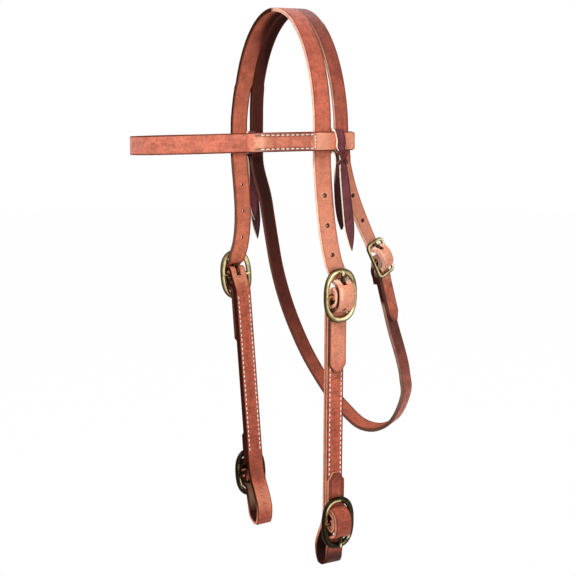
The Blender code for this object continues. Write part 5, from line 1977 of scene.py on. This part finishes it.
def add_floor():
    """A pale floor, far below the bit loops, that is nearly the background's white."""
    work = bmesh.new()
    bmesh.ops.create_circle(work, cap_ends=True, segments=FLOOR_SIDES, radius=FLOOR_RADIUS)
    material = bpy.data.materials.new("pale_floor")
    material.use_nodes = True
    floor = mesh_object("floor", work, material)
    floor.location = (0, 0, FLOOR_HEIGHT)
    nodes, links = material.node_tree.nodes, material.node_tree.links
    shader = nodes["Principled BSDF"]
    shader.inputs["Base Color"].default_value = (0.86, 0.86, 0.86, 1.0)
    shader.inputs["Roughness"].default_value = 0.9
    white = nodes.new("ShaderNodeEmission")
    white.inputs["Color"].default_value = (1.0, 1.0, 1.0, 1.0)
    share = nodes.new("ShaderNodeMath")
    share.operation = "MULTIPLY"
    share.inputs[1].default_value = FLOOR_WHITE_SHARE
    links.new(seen_directly(nodes, links), share.inputs[0])
    mix = nodes.new("ShaderNodeMixShader")
    links.new(share.outputs[0], mix.inputs[0])
    links.new(shader.outputs[0], mix.inputs[1])
    links.new(white.outputs[0], mix.inputs[2])
    links.new(mix.outputs[0], nodes["Material Output"].inputs["Surface"])


# Everything


def make_looks():
    """Each strap's four leather materials, and the others, by name."""
    wall = dark_wall("punched_wall", linear(118, 56, 38))
    made = {"wall": wall, "thread": thread("waxed_thread")}
    # The rounded corners are dark as burnish and as a painted outline, the crown's cut edge is pale
    # partly as a painted highlight, and the cheeks' flesh side is nearly black as painted shade
    # The grain, the flesh side, the cut edge, the rounded corner and the pattern's seed
    straps = {
        "crown": ((198, 104, 80), (206, 116, 90), (242, 186, 162), (92, 42, 34), 1.0),
        "cheek": ((190, 96, 72), (60, 32, 26), (194, 128, 104), (98, 44, 34), 5.0),
        "browband": ((206, 117, 93), (170, 92, 70), (190, 112, 88), (92, 42, 31), 9.0),
    }
    for name, (*colors, seed) in straps.items():
        grain, flesh, edge, corner = (linear(*color) for color in colors)
        made[name] = (
            grain_leather(name + "_grain", grain, seed),
            flesh_leather(name + "_flesh", flesh, seed),
            cut_edge(name + "_cut_edge", edge, shaded(edge, 1.25), seed),
            cut_edge(name + "_burnish_and_outline", corner, shaded(corner, 1.3), seed),
        )
    # The ties' cut edges are paler in their core, so both of their colours are given
    made["tie"] = (
        grain_leather("latigo_grain", linear(112, 56, 62), 13.0),
        flesh_leather("latigo_flesh", linear(98, 60, 66), 17.0),
        cut_edge("latigo_cut_edge", linear(252, 236, 204), linear(255, 246, 226), 19.0),
        cut_edge("latigo_burnish_and_outline", linear(150, 104, 84), linear(226, 196, 166), 23.0),
    )
    made["knot"] = (
        grain_leather("knot_grain", linear(104, 46, 48), 27.0),
        flesh_leather("knot_flesh", linear(60, 30, 30), 29.0),
        cut_edge("knot_cut_edge", linear(78, 36, 34), linear(196, 150, 124), 31.0),
        cut_edge("knot_burnish_and_outline", linear(72, 34, 34), linear(120, 70, 62), 37.0),
    )
    return made


def dress_all():
    buckles = make_buckles()
    looks = make_looks()
    dress_crown(buckles, looks)
    dress_browband(looks)
    dress_tie("left_tie", 1, looks)
    dress_tie("right_tie", -1, looks)
    for side in ("left", "right"):
        dress_cheek(side, buckles, looks)
    # Olive black beside the bright ridges: patina and painted dark reflection; the lower buckles
    # are darker all over
    metals = {
        "upper": brass("cast_brass", 0.0, linear(56, 50, 30), linear(124, 108, 66), 0.5, 0.82),
        "lower": brass("dark_brass", 3.0, linear(28, 24, 15), linear(62, 54, 30), 0.74, 0.88),
    }
    wire = brass("brass_wire", 7.0, linear(44, 36, 22), linear(100, 84, 52), 0.68, 0.86)
    for name, buckle in buckles.items():
        side, _, level = name.partition("_")
        body = side + "_cheek" if level == "lower" else "crown"
        dress_frame(name, buckle, body, metals[level or "upper"])
        dress_tongue(name, buckle, wire)


dress_all()
add_camera()
add_world()
add_floor()
for lamp in LAMPS:
    add_lamp(*lamp)
bpy.context.scene.view_settings.view_transform = "Standard"
